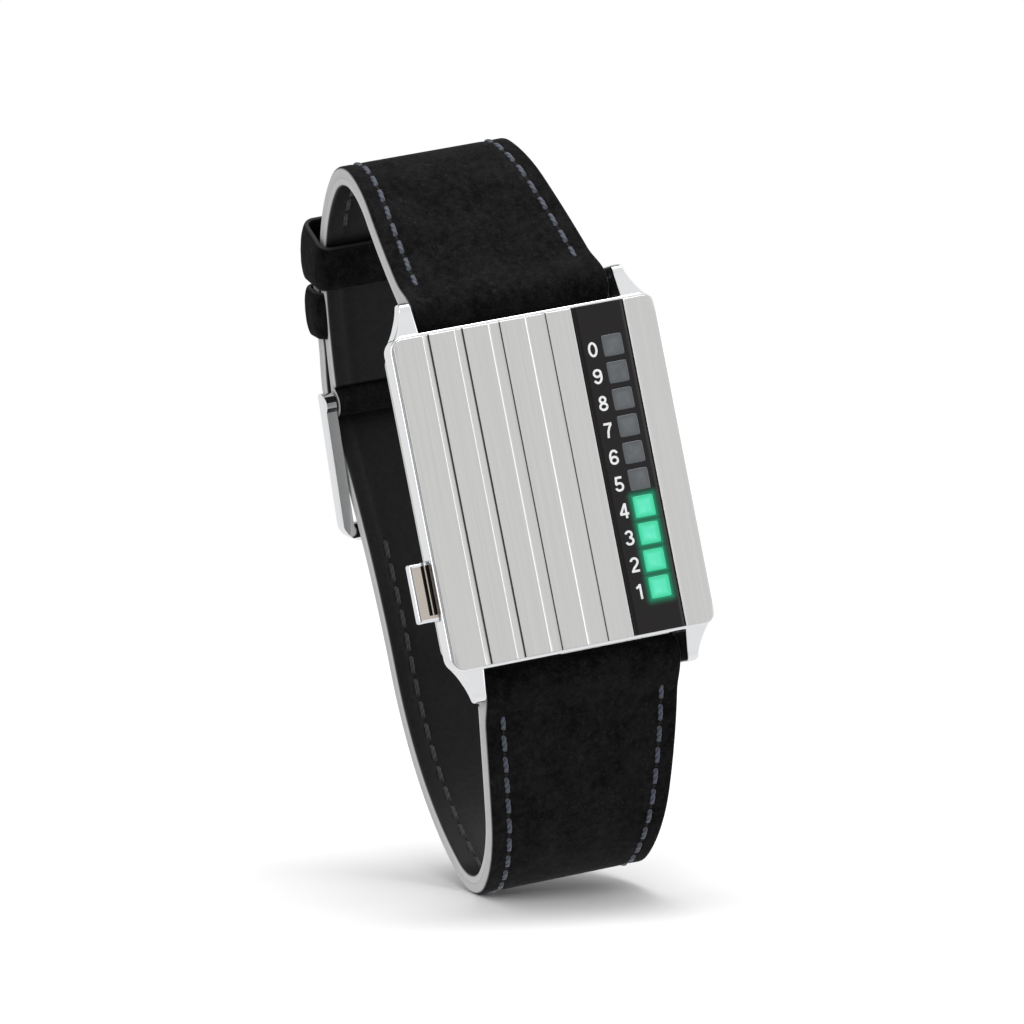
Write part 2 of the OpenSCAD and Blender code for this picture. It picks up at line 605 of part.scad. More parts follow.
module pusher_ring() color(BLACK) translate([ring_r - pocket_floor, cap_y, -cap_drop]) rotate([0, 90, 0])
    rotate_extrude() translate([stem_r + 0.02 + ring_r, 0]) circle(ring_r);
module pusher_clip() color(STEEL) translate([-clip_x, cap_y, -cap_drop]) difference() {
    rod_x(tube_out_r - 0.05, 0, clip_w);
    rod_x(stem_r - 0.2, -spare, clip_w + spare);
    translate([-spare, 0, -stem_r + 0.25]) cube([clip_w + 2 * spare, 2, 2 * stem_r - 0.5]);
}
// Coil between the floor of the pocket and the cap, swept as one closed tube
coil_turns = 1.5;
coil_sides = 6;
coil_steps = 14;
wire_r = 0.1;
coil_r = stem_r + 0.35;
module pusher_spring() color(STEEL) translate([0, cap_y, -cap_drop]) {
    n = coil_turns * coil_steps;
    x0 = -pocket_floor - wire_r;
    x1 = -cap_foot + wire_r;
    points = [for (i = [0:n]) for (j = [0:coil_sides - 1]) let (
        a = 360 * i / coil_steps, b = 360 * j / coil_sides, r = coil_r + wire_r * cos(b))
        [x0 + (x1 - x0) * i / n + wire_r * sin(b), r * cos(a), r * sin(a)]];
    sides = [for (i = [0:n - 1]) for (j = [0:coil_sides - 1]) let (k = (j + 1) % coil_sides)
        [i * coil_sides + j, i * coil_sides + k, (i + 1) * coil_sides + k, (i + 1) * coil_sides + j]];
    ends = [[for (j = [coil_sides - 1:-1:0]) j], [for (j = [0:coil_sides - 1]) n * coil_sides + j]];
    polyhedron(points, concat(sides, ends), convexity = 4);
}

// Spring bars: a tube closed on two pins that push apart
module bar_tube(half) color(STEEL) difference() {
    rod_x(tube_r, -half, half);
    rod_x(pin_r + slip, -half - spare, half + spare);
}
module lug_pin() color(STEEL) {
    rod_x(pin_r, tube_end - pin_back, lug_in + pin_in);
    rod_x(collar_r, collar_x, collar_x + collar_l);
}
module at_bar(z) translate([0, bar_y, z]) children();
module bar_tube_top() at_bar(bar_z) bar_tube(tube_end);
module bar_tube_bottom() at_bar(-bar_z) bar_tube(tube_end);
module pin_top_right() at_bar(bar_z) lug_pin();
module pin_top_left() at_bar(bar_z) mirror([1, 0, 0]) lug_pin();
module pin_bottom_right() at_bar(-bar_z) lug_pin();
module pin_bottom_left() at_bar(-bar_z) mirror([1, 0, 0]) lug_pin();
module at_buckle() translate([0, buckle[0], buckle[1]]) rotate([frame_lean, 0, 0]) children();
buckle_tube_end = strap_end_w / 2 - 1.2;
ear_hole = arm_in + arm_t - 0.4;
module buckle_pin() color(STEEL) rod_x(pin_r, buckle_tube_end - pin_back, ear_hole - seat);
module bar_tube_buckle() at_buckle() bar_tube(buckle_tube_end);
module pin_buckle_right() at_buckle() buckle_pin();
module pin_buckle_left() at_buckle() mirror([1, 0, 0]) buckle_pin();

// Side cuts that draw a strap in from the lugs to its narrow width at the bend
module taper(bar, bend, y_bend) mirrored_x() {
    out = strap_w;
    slab(front_y - out, y_bend) polygon([[strap_w / 2, 0], [strap_w / 2, bar], [strap_end_w / 2, bend],
        [strap_end_w / 2, bend * 2], [out, bend * 2], [out, 0]]);
    translate([strap_end_w / 2, y_bend - 0.01, -3 * abs(bend)]) cube([out, 3 * abs(bend), 6 * abs(bend)]);
}
short_bend = short_at(bend_start);
long_bend = long_at(long_way[0][0] + long_way[1][0] + long_way[2][0] / 2);

// Slot that lets the tongue's eye turn on the bar
tongue_side = 0.3;
slot_top = lining_back + 0.15;
slot_low = 2 * eye_r + 0.5;
module tongue_slot() at_buckle() translate([-tongue_w / 2 - tongue_side, -2 * eye_r, -slot_low])
    cube([tongue_w + 2 * tongue_side, 4 * eye_r, slot_low + slot_top]);
module strap_short_upper() color(SUEDE) difference() {
    rail(-strap_w / 2, strap_w / 2) difference() {
        union() {
            polygon(upper_band(short_path(fold, short_l - fold), 1));
            translate([bar_y, bar_z]) circle(fold_r);
            translate([buckle[0], buckle[1]]) circle(eye_r);
        }
        translate([bar_y, bar_z]) circle(tube_r + slip);
        translate([buckle[0], buckle[1]]) circle(tube_r + slip);
    }
    taper(bar_z, short_bend[1], short_bend[0]);
    tongue_slot();
}
module strap_short_lining() color(LINING) difference() {
    rail(-strap_w / 2, strap_w / 2)
        polygon(band(short_path(lining_start, short_l - lining_back), -strap_t / 2, upper_in, 1));
    taper(bar_z, short_bend[1], short_bend[0]);
    tongue_slot();
}

// Holes along the tail, counted from the one that the tongue is in
function hole_step(path, i, left) = let (
        d = norm([path[i + 1][0] - path[i][0], path[i + 1][1] - path[i][1]]))
    left <= d ? path[i] + (path[i + 1] - path[i]) * left / d : hole_step(path, i + 1, left - d);
hole_index = [for (i = [0:len(long_path) - 1])
    if (norm([long_path[i][0] - past_eye[0], long_path[i][1] - past_eye[1]]) < 0.01) i][0];
up_path = [for (i = [hole_index:len(long_path) - 1]) long_path[i]];
down_path = reversed([for (i = [0:hole_index]) long_path[i]]);
hole_places = concat([for (k = [1:2]) hole_step(up_path, 0, k * hole_pitch)],
    [for (k = [1:4]) hole_step(down_path, 0, k * hole_pitch)]);
hole_below = 1.15;
hole_above = 1.05;
hole_reach = 2 * (eye_r + strap_t);
module long_cuts() {
    mirror([0, 0, 1]) taper(bar_z, -long_bend[1], long_bend[0]);
    for (q = hole_places) translate([0, q[0], q[1]]) rotate([-q[2], 0, 0]) rod_y(hole_r, -3, 3);
    // Long hole that the tongue comes through
    at_buckle() translate([-tongue_w / 2 - 0.2, 0, 0]) rotate([90 - tongue_angle, 0, 0])
        translate([0, 0, -tongue_t / 2 - hole_below])
            cube([tongue_w + 0.4, hole_reach, hole_below + tongue_t + hole_above]);
    tip_cut();
}
// Rounds the end of the tail
tip_r = strap_end_w * 0.62;
module tip_cut() {
    q = on_tail(tail_tip);
    translate([0, q[0], q[1]]) rotate([-q[2], 0, 0]) slab(-4, 4) difference() {
        translate([-strap_w, -tip_r / 2]) square([2 * strap_w, tip_r / 2 + spare]);
        translate([0, -tip_r]) circle(tip_r);
    }
}
lining_path = [for (q = long_path) if (norm([q[0] - bar_y, q[1] + bar_z]) > lining_start - 0.01) q];
module strap_long_upper() color(SUEDE) difference() {
    rail(-strap_w / 2, strap_w / 2) difference() {
        union() {
            polygon(upper_band(long_path, -1));
            translate([bar_y, -bar_z]) circle(fold_r);
        }
        translate([bar_y, -bar_z]) circle(tube_r + slip);
    }
    long_cuts();
}
module strap_long_lining() color(LINING) difference() {
    rail(-strap_w / 2, strap_w / 2) polygon(band(lining_path, -strap_t / 2, upper_in, -1));
    long_cuts();
}

// Keepers: a channel glued to the sides of the short strap, and a closed ring that slides round the bend
module fixed_keeper() color(SUEDE) {
    path = short_path(fixed_keeper_start, fixed_keeper_end);
    top = tail_off + strap_t / 2 + 0.2;
    half = strap_end_w / 2 + 0.25;
    difference() {
        rail(-half - keeper_t, half + keeper_t) polygon(band(path, 0, top + keeper_t, 1));
        rail(-half, half)
            polygon(band(short_path(fixed_keeper_start - 1, fixed_keeper_end + 1), -1, top, 1));
    }
    mirrored_x() rail(strap_end_w / 2, half) polygon(band(path, 0, strap_t / 2, 1));
}
module free_keeper() color(SUEDE) {
    low = -strap_t / 2 - keeper_play;
    top = tail_off + strap_t / 2 + keeper_play;
    half = strap_end_w / 2 + keeper_play;
    difference() {
        rail(-half - keeper_t, half + keeper_t)
            polygon(band(short_path(free_keeper_start, free_keeper_end), low - keeper_t,
                top + keeper_t, 1));
        rail(-half, half)
            polygon(band(short_path(free_keeper_start - 1, free_keeper_end + 1), low, top, 1));
    }
}

// Buckle frame: its front view, cut to its side view with eyes, bowed arms and a round front bar
module frame_outline() {
    translate([0, (ear_r - frame_l - front_bar_r) / 2])
        rounded(2 * arm_out, ear_r + frame_l + front_bar_r, frame_r);
    translate([-arm_out, -frame_l / 2]) square([2 * arm_out, frame_l / 2 + ear_r]);
}
arm_ease = arm_t * 0.45;
module frame_arms() intersection() {
    slab(-2 * ear_r, 2 * ear_r) difference() {
        frame_outline();
        translate([-arm_in, -2 * frame_l]) square([2 * arm_in, 4 * frame_l]);
    }
    rail(-arm_out, arm_out) {
        circle(ear_r);
        translate([0, -frame_l]) circle(front_bar_r);
        polygon(concat([[-ear_r * 0.8, 0], [-front_bar_r, -frame_l]],
            [for (t = [0:0.125:1]) [front_bar_r + 0.1 * t + 0.8 * t * (1 - t), frame_l * (t - 1)]]));
    }
    post(-frame_l - ear_r, ear_r) polygon([[-arm_out, -ear_r / 2], [arm_ease - arm_out, -2 * ear_r],
        [arm_out - arm_ease, -2 * ear_r], [arm_out, -ear_r / 2], [arm_out, ear_r * 0.6],
        [arm_out - arm_ease, ear_r * 1.5], [arm_ease - arm_out, ear_r * 1.5], [-arm_out, ear_r * 0.6]]);
}
module buckle_frame() color(STEEL) at_buckle() difference() {
    union() {
        frame_arms();
        intersection() {
            translate([0, 0, -frame_l]) rod_x(front_bar_r, -arm_out, arm_out);
            slab(-2 * ear_r, 2 * ear_r) frame_outline();
        }
    }
    mirrored_x() rod_x(pin_r + slip, arm_in - spare, ear_hole);
}

// Tongue: an eye on the bar and a blade bent out through the strap and down onto the front bar
tongue_rest = [front_bar_r + 0.02 + tongue_t / 2, -frame_l - 0.6, 184];
knee_l = eye_r + strap_t - 0.55;
tongue_path = let (knee = [knee_l * sin(tongue_angle), knee_l * cos(tongue_angle), tongue_angle])
    concat([[0, 0, tongue_angle]], [knee], bridge(knee, tongue_rest, 0.17));
module buckle_tongue() color(STEEL) at_buckle() difference() {
    rail(-tongue_w / 2, tongue_w / 2) {
        circle(tube_r + slip + 0.6);
        polygon(band(tongue_path, -tongue_t / 2, tongue_t / 2, 1));
    }
    rod_x(tube_r + slip, -tongue_w, tongue_w);
}

case_body();
face_plate_left();
face_plate_right();
window_glass();
led_mask();
led_diffusers();
led_chips();
circuit_board();
driver_chip();
quartz_can();
push_switch();
module_holder();
battery();
battery_contact();
battery_clip();
back_gasket();
case_back();
back_screws();
pusher();
pusher_spring();
pusher_tube();
pusher_ring();
pusher_clip();
bar_tube_top();
bar_tube_bottom();
bar_tube_buckle();
pin_top_left();
pin_top_right();
pin_bottom_left();
pin_bottom_right();
pin_buckle_left();
pin_buckle_right();
strap_short_upper();
strap_short_lining();
strap_long_upper();
strap_long_lining();
fixed_keeper();
free_keeper();
buckle_frame();
buckle_tongue();
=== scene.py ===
"""Looks of a strapped wristwatch with a column of light cells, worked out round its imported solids."""

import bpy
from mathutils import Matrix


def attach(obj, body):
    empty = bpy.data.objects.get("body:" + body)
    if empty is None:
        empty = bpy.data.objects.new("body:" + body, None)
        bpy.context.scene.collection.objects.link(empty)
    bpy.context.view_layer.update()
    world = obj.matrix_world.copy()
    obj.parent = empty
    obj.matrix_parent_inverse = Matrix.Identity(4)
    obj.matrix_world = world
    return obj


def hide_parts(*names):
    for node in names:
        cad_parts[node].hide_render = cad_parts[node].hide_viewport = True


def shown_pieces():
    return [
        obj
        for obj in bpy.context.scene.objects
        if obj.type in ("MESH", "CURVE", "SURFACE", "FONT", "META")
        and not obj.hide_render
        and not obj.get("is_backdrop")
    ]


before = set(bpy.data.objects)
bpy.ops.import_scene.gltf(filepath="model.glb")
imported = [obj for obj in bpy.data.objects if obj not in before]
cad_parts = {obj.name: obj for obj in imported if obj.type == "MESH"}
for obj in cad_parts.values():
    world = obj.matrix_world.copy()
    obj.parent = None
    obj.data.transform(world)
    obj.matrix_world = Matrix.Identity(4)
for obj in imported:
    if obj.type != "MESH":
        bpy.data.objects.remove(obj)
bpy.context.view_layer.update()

import math

import bmesh
import bpy
import numpy as np
from mathutils import Matrix

MM = 0.001

# Sizes of the watch, in millimetres
FRONT_W, FRONT_L, FRONT_Y = 34.0, 40.5, -9.4
BAR_Y, BAR_Z = -4.2, 23.0
STRAP_T, LINING_T, STRAP_W, STRAP_END_W = 2.5, 1.05, 25.6, 22.0
UPPER_IN = LINING_T - STRAP_T / 2
EYE_R, FOLD_R, FOLD_EASE, TAIL_OFF = 1.75, 2.28, 5.0, 2.75
LINING_START, LINING_BACK = 2.5, 2.05
SHORT_L, LONG_L = 64.0, 85.6
SHORT_START, LONG_START = 39.4, 25.0
SHORT_RUNS = [[0.26875, -0.4], [0.13281, 26.3], [0.10156, 49.4], [0.27344, 44.1], [0.22344, 11.0]]
LONG_RUNS = [[0.21028, 9.9], [0.14603, 33.4], [0.10164, 65.1], [0.19509, 29.2], [0.13902, 17.8],
             [0.20794, -10.2]]
FRAME_L, FRAME_LEAN, FRONT_BAR_R, BAR_PLAY, SLOPE = 16.4, 8.0, 1.25, 0.43, 25.0
TAIL_START, TAIL_TIP, TIP_R = 57.0, 43.3, 13.64
FIXED_KEEPER, FREE_KEEPER = (49.8, 55.8), (42.3, 48.9)
KEEPER_T, KEEPER_PLAY = 1.1, 0.35
TONGUE_W, TONGUE_T, TONGUE_ANGLE = 1.8, 1.2, 128.0
HOLE_BELOW, HOLE_ABOVE = 1.15, 1.05
HOLE_R, HOLE_PITCH = 1.0, 6.5
HOLE_STEPS = (2, 1, -1, -2, -3, -4)   # the holes besides the tongue's own, counted from it towards the tip
DRAW_IN = 1.6                         # power that keeps the strap wide at first and narrows it later
GLASS_Y, CELL_LIFT = FRONT_Y - 0.12, 0.012   # the glass, and how far cells and figures stand on it
CELL_X, CELL_W, CELL_PITCH, CELLS, LIT = 10.585, 2.62, 3.3244, 10, 4
FIRST_Z = (CELLS - 1) / 2 * CELL_PITCH
CAP_Y, CAP_Z, CAP_D, CAP_L = FRONT_Y + 2.45, -10.287, 2.6, 7.3
CAP_OUT, CAP_FOOT, PANEL_X, PANEL_END, PANEL_SINK = -20.15, -17.3, -19.7, 0.45, 0.12
CAP_FACE = CAP_Y - CAP_D / 2


# Paths of the strap

def root(v):
    """Square root, where what rounding leaves below nothing counts as nothing."""
    return np.sqrt(np.maximum(v, 0))


def unit(v):
    """The same direction at length 1."""
    return np.array(v, float) / np.linalg.norm(v)


def in_run(start, run, s):
    """Places s along one run of even curvature: a straight line, or an arc that turns by the run's angle.
    A place is (y, z, heading), with the heading in radians from +Z towards +Y."""
    y, z, h = start
    length, turn = run[0], math.radians(run[1])
    k = turn / length
    a = h + k * s
    return np.stack([y + (math.cos(h) - np.cos(a)) / k, z + (np.sin(a) - math.sin(h)) / k, a], -1)


def along(start, runs, s):
    """Places s along a chain of runs, each of which starts where the one before it ends."""
    s = np.asarray(s, float)
    places = np.zeros((len(s), 3))
    done = 0.0
    for i, run in enumerate(runs):
        last = i == len(runs) - 1
        here = (s >= done) & ((s <= done + run[0]) | last) if i else (s <= run[0])
        places[here] = in_run(start, run, s[here] - done)
        start = in_run(start, run, np.array([run[0]]))[0]
        done += run[0]
    return places


def short_at(s):
    """Middle of the short strap, s from its spring bar."""
    runs = [[share * SHORT_L, turn] for share, turn in SHORT_RUNS]
    return along((BAR_Y, BAR_Z, math.radians(SHORT_START)), runs, s)


BUCKLE_Y, BUCKLE_Z = short_at([SHORT_L])[0][:2]


def in_buckle(y, z, heading):
    """Place in the buckle's own frame, leaned about its bar."""
    c, s = math.cos(math.radians(FRAME_LEAN)), math.sin(math.radians(FRAME_LEAN))
    return np.array([BUCKLE_Y + y * c - z * s, BUCKLE_Z + y * s + z * c, math.radians(heading - FRAME_LEAN)])


UNDER_BAR = in_buckle(-(FRONT_BAR_R + BAR_PLAY + STRAP_T / 2), -FRAME_L, 0)


def long_at(s):
    """Middle of the long strap, s from its spring bar: runs mirrored in Z, plus a share (s / length) squared
    of what they miss the place under the buckle's front bar by."""
    runs = [[share * LONG_L, turn] for share, turn in LONG_RUNS]
    start = (BAR_Y, BAR_Z, math.radians(LONG_START))
    mirror = lambda q: np.stack([q[:, 0], -q[:, 1], math.pi - q[:, 2]], -1)
    gap = UNDER_BAR - mirror(along(start, runs, [LONG_L]))[0]
    gap[2] = 0
    s = np.asarray(s, float)
    return mirror(along(start, runs, s)) + np.outer((s / LONG_L) ** 2, gap)


def on_tail(s):
    """Middle of the tail: the short strap's path moved outwards by TAIL_OFF and walked the other way."""
    q = short_at(s)
    q[:, 0] -= TAIL_OFF * np.cos(q[:, 2])
    q[:, 1] += TAIL_OFF * np.sin(q[:, 2])
    q[:, 2] -= math.pi
    return q


def bridge(a, b):
    """Cubic curve that leaves a and arrives at b along their headings, with handles 0.36 of the distance."""
    t = np.linspace(0, 1, 40)[:, None]
    u = 1 - t
    reach = 0.36 * np.hypot(*(b - a)[:2])
    p0, p3 = a[:2], b[:2]
    p1 = p0 + reach * np.array([math.sin(a[2]), math.cos(a[2])])
    p2 = p3 - reach * np.array([math.sin(b[2]), math.cos(b[2])])
    p = u ** 3 * p0 + 3 * u * u * t * p1 + 3 * u * t * t * p2 + t ** 3 * p3
    v = u * u * (p1 - p0) + 2 * u * t * (p2 - p1) + t * t * (p3 - p2)
    return np.column_stack([p, np.arctan2(v[:, 0], v[:, 1])])


class Path:
    """A strap's middle line, looked up by arc length. hand is 1 for the short strap and -1 for the long one,
    so that a positive offset is away from the wrist on both."""

    def __init__(self, places, hand):
        steps = np.hypot(*np.diff(places[:, :2], axis=0).T)
        keep = np.concatenate([[True], steps > 1e-6])
        self.places = places[keep]
        self.arc = np.concatenate([[0], np.cumsum(np.hypot(*np.diff(self.places[:, :2], axis=0).T))])
        self.length = self.arc[-1]
        self.hand = hand

    def put(self, x, off, s):
        """Points at x across, off outwards and s along, carried straight on past both ends."""
        x, off, s = np.broadcast_arrays(np.asarray(x, float), off, s)
        inside = np.clip(s, 0, self.length)
        y, z, h = (np.interp(inside, self.arc, self.places[:, i]) for i in range(3))
        past = s - inside
        y = y + past * np.sin(h) - self.hand * off * np.cos(h)
        z = z + past * np.cos(h) + self.hand * off * np.sin(h)
        return np.stack([x, y, z], -1)

    def nearest(self, y, z):
        """Arc length of the place nearest to a point."""
        return self.arc[np.argmin(np.hypot(self.places[:, 0] - y, self.places[:, 1] - z))]


eye_reach, eye_slope = EYE_R + 0.25 + STRAP_T / 2, math.radians(SLOPE)
past_eye = in_buckle(eye_reach * math.cos(eye_slope), -eye_reach * math.sin(eye_slope), SLOPE)
bar_end = long_at([LONG_L])[0]
tail_in = on_tail([TAIL_START])[0]
short = Path(short_at(np.linspace(0, SHORT_L, 600)), 1)
long = Path(np.concatenate([long_at(np.linspace(0, LONG_L, 700)), bridge(bar_end, past_eye),
                            bridge(past_eye, tail_in), on_tail(np.linspace(TAIL_START, TAIL_TIP, 120))]), -1)


def strap_half_width(z_along, bend_s, s):
    """Half the strap's width: full up to the lugs' bars, then drawn in to its narrow width at the bend by the
    share of the way in z to the power DRAW_IN."""
    z = np.abs(z_along)
    z_bend = z[np.argmin(np.abs(s - bend_s))]
    share = np.clip((z - BAR_Z) / (z_bend - BAR_Z), 0, 1)
    share = np.where(s > bend_s, 1, share) ** DRAW_IN
    return STRAP_W / 2 + (STRAP_END_W - STRAP_W) / 2 * share


SHORT_BEND = SHORT_L * sum(share for share, turn in SHORT_RUNS[:3])
LONG_BEND = LONG_L * (LONG_RUNS[0][0] + LONG_RUNS[1][0] + LONG_RUNS[2][0] / 2)


def half_width(path, s):
    """Half the width of either strap at s, the long one with its round tip."""
    s = np.asarray(s, float)
    table = np.linspace(0, path.length, 800)
    z = np.interp(table, path.arc, path.places[:, 1])
    bend = SHORT_BEND if path.hand > 0 else LONG_BEND
    half = np.interp(s, table, strap_half_width(z, bend, table))
    if path.hand < 0:
        left = np.clip(path.length - s, 0, TIP_R)
        half = np.minimum(half, root(TIP_R ** 2 - (TIP_R - left) ** 2))
    return half


# Meshes

def round_circle(count):
    """Even angles once round a circle."""
    return np.linspace(0, 2 * math.pi, count, endpoint=False)


def grid_faces(rows, cols, wrap_rows=False, wrap_cols=False):
    """Quads between the points of a grid, closed round in each direction that wraps."""
    i, j = np.meshgrid(np.arange(rows if wrap_rows else rows - 1),
                       np.arange(cols if wrap_cols else cols - 1), indexing="ij")
    right, down = (j + 1) % cols, (i + 1) % rows
    return np.stack([i * cols + j, i * cols + right, down * cols + right, down * cols + j], -1).reshape(-1, 4)


def facing_out(points, faces):
    """The same faces, turned round if the signed volume under them is negative."""
    a, b, c, d = (points[faces[:, i]] for i in range(4))
    volume = np.einsum("ij,ij->", a, np.cross(b, c)) + np.einsum("ij,ij->", a, np.cross(c, d))
    return faces if volume > 0 else faces[:, ::-1]


def skin_of(points, wrap_rows=False):
    """A grid of points that closes round its columns, as (points, faces) with the faces outwards."""
    flat = points.reshape(-1, 3)
    return flat, facing_out(flat, grid_faces(*points.shape[:2], wrap_rows, True))


def make_mesh(name, points, faces, smooth=True, **marks):
    """Mesh of points in millimetres, with one number a point for each mark."""
    mesh = bpy.data.meshes.new(name)
    mesh.from_pydata((points * MM).tolist(), [], faces.tolist())
    for key, values in marks.items():
        mark = mesh.attributes.new(key, "FLOAT", "POINT")
        mark.data.foreach_set("value", np.asarray(values, np.float32).ravel())
    mesh.polygons.foreach_set("use_smooth", np.full(len(mesh.polygons), smooth))
    mesh.validate()
    mesh.update()
    return mesh


def placed(name, data):
    """New object of the scene that shows its data."""
    thing = bpy.data.objects.new(name, data)
    bpy.context.scene.collection.objects.link(thing)
    return thing


def piece(name, mesh, material, body, replaces=()):
    """Object at the origin that rides on a body, takes its finish from a slot and stands for CAD nodes."""
    thing = placed(name, mesh)
    mesh.materials.clear()
    mesh.materials.append(material)
    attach(thing, body)
    if replaces:
        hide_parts(*replaces)
    return thing


def joined(parts):
    """Several (points, faces) as one, with the faces counted on."""
    counts = np.cumsum([0] + [len(p) for p, _ in parts[:-1]])
    return np.concatenate([p for p, _ in parts]), np.concatenate([f + n for (_, f), n in zip(parts, counts)])


def welded(thing, sharp=None):
    """The object's mesh with its doubles merged, and edges sharper than an angle kept sharp."""
    tool = thing.modifiers.new("weld", "WELD")
    tool.merge_threshold = 1e-7
    settle(thing)
    if sharp is not None:
        thing.data.set_sharp_from_angle(angle=math.radians(sharp))
    return thing


def settle(thing):
    """Puts the modifiers' result into the object's own mesh."""
    shown = thing.evaluated_get(bpy.context.evaluated_depsgraph_get())
    old = thing.data
    thing.data = bpy.data.meshes.new_from_object(shown)
    thing.modifiers.clear()
    bpy.data.meshes.remove(old)
    return thing


def dressed(thing, material, weighted=False):
    """The object with its one material, which a cut can leave out. Weighted, its vertex normals go by face
    area, so that small rounds don't shade the flats beside them."""
    if weighted:
        tool = thing.modifiers.new("weighted", "WEIGHTED_NORMAL")
        tool.keep_sharp, tool.weight = True, 80
        settle(thing)
    thing.data.materials.clear()
    thing.data.materials.append(material)
    return thing


def cut(thing, cutters):
    """Takes closed cutter meshes out of an object."""
    for mesh in cutters:
        knife = placed("knife", mesh)
        tool = thing.modifiers.new("cut", "BOOLEAN")
        tool.operation, tool.solver, tool.object = "DIFFERENCE", "EXACT", knife
        bpy.context.view_layer.update()
        settle(thing)
        bpy.data.objects.remove(knife)
    return thing


def drill(parts):
    """Several closed cutters as one mesh."""
    return make_mesh("drill", *joined(parts), False)


def round_bar(axis, radius, start, end, at, sides=48):
    """Closed rod along axis 0 (X) or 1 (Y), from start to end, about the place at of the other two axes."""
    turn = round_circle(sides)
    run = np.array([start, start, end, end], float)[:, None] + 0 * turn
    wide = np.array([0, radius, radius, 0])[:, None]
    a, b = at[0] + wide * np.cos(turn), at[1] + wide * np.sin(turn)
    order = [run, a, b] if axis == 0 else [a, run, b]
    return skin_of(np.stack(order, -1))


def block(x0, x1, y0, y1, z0, z1):
    """Closed box."""
    points = np.array([[i, j, k] for i in (x0, x1) for j in (y0, y1) for k in (z0, z1)], float)
    faces = np.array([[0, 1, 3, 2], [4, 6, 7, 5], [0, 4, 5, 1], [2, 3, 7, 6], [0, 2, 6, 4], [1, 5, 7, 3]])
    return points, facing_out(points, faces)


def merged(thing, other):
    """One object's mesh added to another's."""
    both = bmesh.new()
    both.from_mesh(thing.data)
    both.from_mesh(other.data)
    both.to_mesh(thing.data)
    both.free()
    bpy.data.objects.remove(other)
    return thing


# Shaders

class Wire:
    """A socket of one material. An expression on wires and numbers adds the Math nodes that it needs."""

    def __init__(self, finish, socket):
        self.finish, self.socket = finish, socket

    def maths(self, operation, *values):
        """A Math node on wires and numbers."""
        return self.finish.node("ShaderNodeMath", values, operation=operation)

    def __add__(self, other): return self.maths("ADD", self, other)
    def __radd__(self, other): return self.maths("ADD", other, self)
    def __sub__(self, other): return self.maths("SUBTRACT", self, other)
    def __rsub__(self, other): return self.maths("SUBTRACT", other, self)
    def __mul__(self, other): return self.maths("MULTIPLY", self, other)
    def __rmul__(self, other): return self.maths("MULTIPLY", other, self)
    def __truediv__(self, other): return self.maths("DIVIDE", self, other)
    def __pow__(self, other): return self.maths("POWER", self, other)
    def __abs__(self): return self.maths("ABSOLUTE", self)
    def low(self, other): return self.maths("MINIMUM", self, other)
    def high(self, other): return self.maths("MAXIMUM", self, other)
    def round(self): return self.maths("ROUND", self)


class Finish:
    """The nodes of a material, or of another holder of nodes, and the few calls that build them."""

    def __init__(self, name, holder=None):
        self.material = holder or bpy.data.materials.new(name)
        self.material.use_nodes = True
        self.tree = self.material.node_tree
        self.tree.nodes.clear()

    def node(self, kind, values=(), out=0, **settings):
        """Any node: its settings first, then its sockets' values or links, by order or by name."""
        made = self.tree.nodes.new(kind)
        for key, value in settings.items():
            setattr(made, key, value)
        pairs = values.items() if isinstance(values, dict) else enumerate(values)
        for key, value in pairs:
            if isinstance(value, Wire):
                self.tree.links.new(value.socket, made.inputs[key])
            else:
                made.inputs[key].default_value = value
        return Wire(self, made.outputs[out]) if made.outputs else None

    def where(self):
        """Object coordinates, in metres."""
        return self.node("ShaderNodeTexCoord", out="Object")

    def axis(self, vector, name):
        """A vector's part along X, Y or Z."""
        return self.node("ShaderNodeSeparateXYZ", [vector], out=name)

    def stretched(self, scale, turn=(0, 0, 0)):
        """Object coordinates times a scale along each axis."""
        return self.node("ShaderNodeMapping", {"Vector": self.where(), "Scale": scale, "Rotation": turn})

    def noise(self, scale, detail=3.0, roughness=0.55, turn=(0, 0, 0)):
        """Noise in object coordinates, with its scale per metre along each axis, or one for all three."""
        along_axes = (scale,) * 3 if isinstance(scale, (int, float)) else scale
        return self.node("ShaderNodeTexNoise", {"Vector": self.stretched(along_axes, turn), "Scale": 1.0,
                                                "Detail": detail, "Roughness": roughness}, out="Fac")

    def ranged(self, value, low, high, to_low=0.0, to_high=1.0):
        """value moved from one range to another and held inside it."""
        return self.node("ShaderNodeMapRange", [value, low, high, to_low, to_high], clamp=True)

    def mark(self, name):
        """The piece's own number at each point."""
        return self.node("ShaderNodeAttribute", attribute_name=name, out="Fac")

    def mix(self, share, a, b):
        """Colour a where share is 0 and b where it is 1."""
        tone = lambda c: c if isinstance(c, Wire) else (*c, 1)
        return self.node("ShaderNodeMix", {0: share, 6: tone(a), 7: tone(b)}, out=2, data_type="RGBA")

    def bump(self, height, strength, distance):
        """Normal of a surface lifted by a height."""
        return self.node("ShaderNodeBump", {"Strength": strength, "Distance": distance, "Height": height},
                         out="Normal")

    def skin(self, **values):
        """The principled surface, wired to the output."""
        named = {key.replace("_", " "): value for key, value in values.items()}
        for key, value in named.items():
            if key in ("Base Color", "Emission Color", "Sheen Tint") and not isinstance(value, Wire):
                named[key] = (*value, 1)
        self.node("ShaderNodeOutputMaterial", {"Surface": self.node("ShaderNodeBsdfPrincipled", named)})
        return self.material


HAIR_SCALE, HAIR_TURN = (2600, 2600, 240), (0.5, 0.9, 0)     # the faint wipe marks and their lean in radians
# the lip's polished colour, and painted shade: the dark colour of a groove's deep strip and wall
LIP_TONE, GROOVE_SHADE_TONE = (0.86, 0.86, 0.855), (0.13, 0.125, 0.12)


def shaded(tone, share):
    """A tone times a share."""
    return [v * share for v in tone]


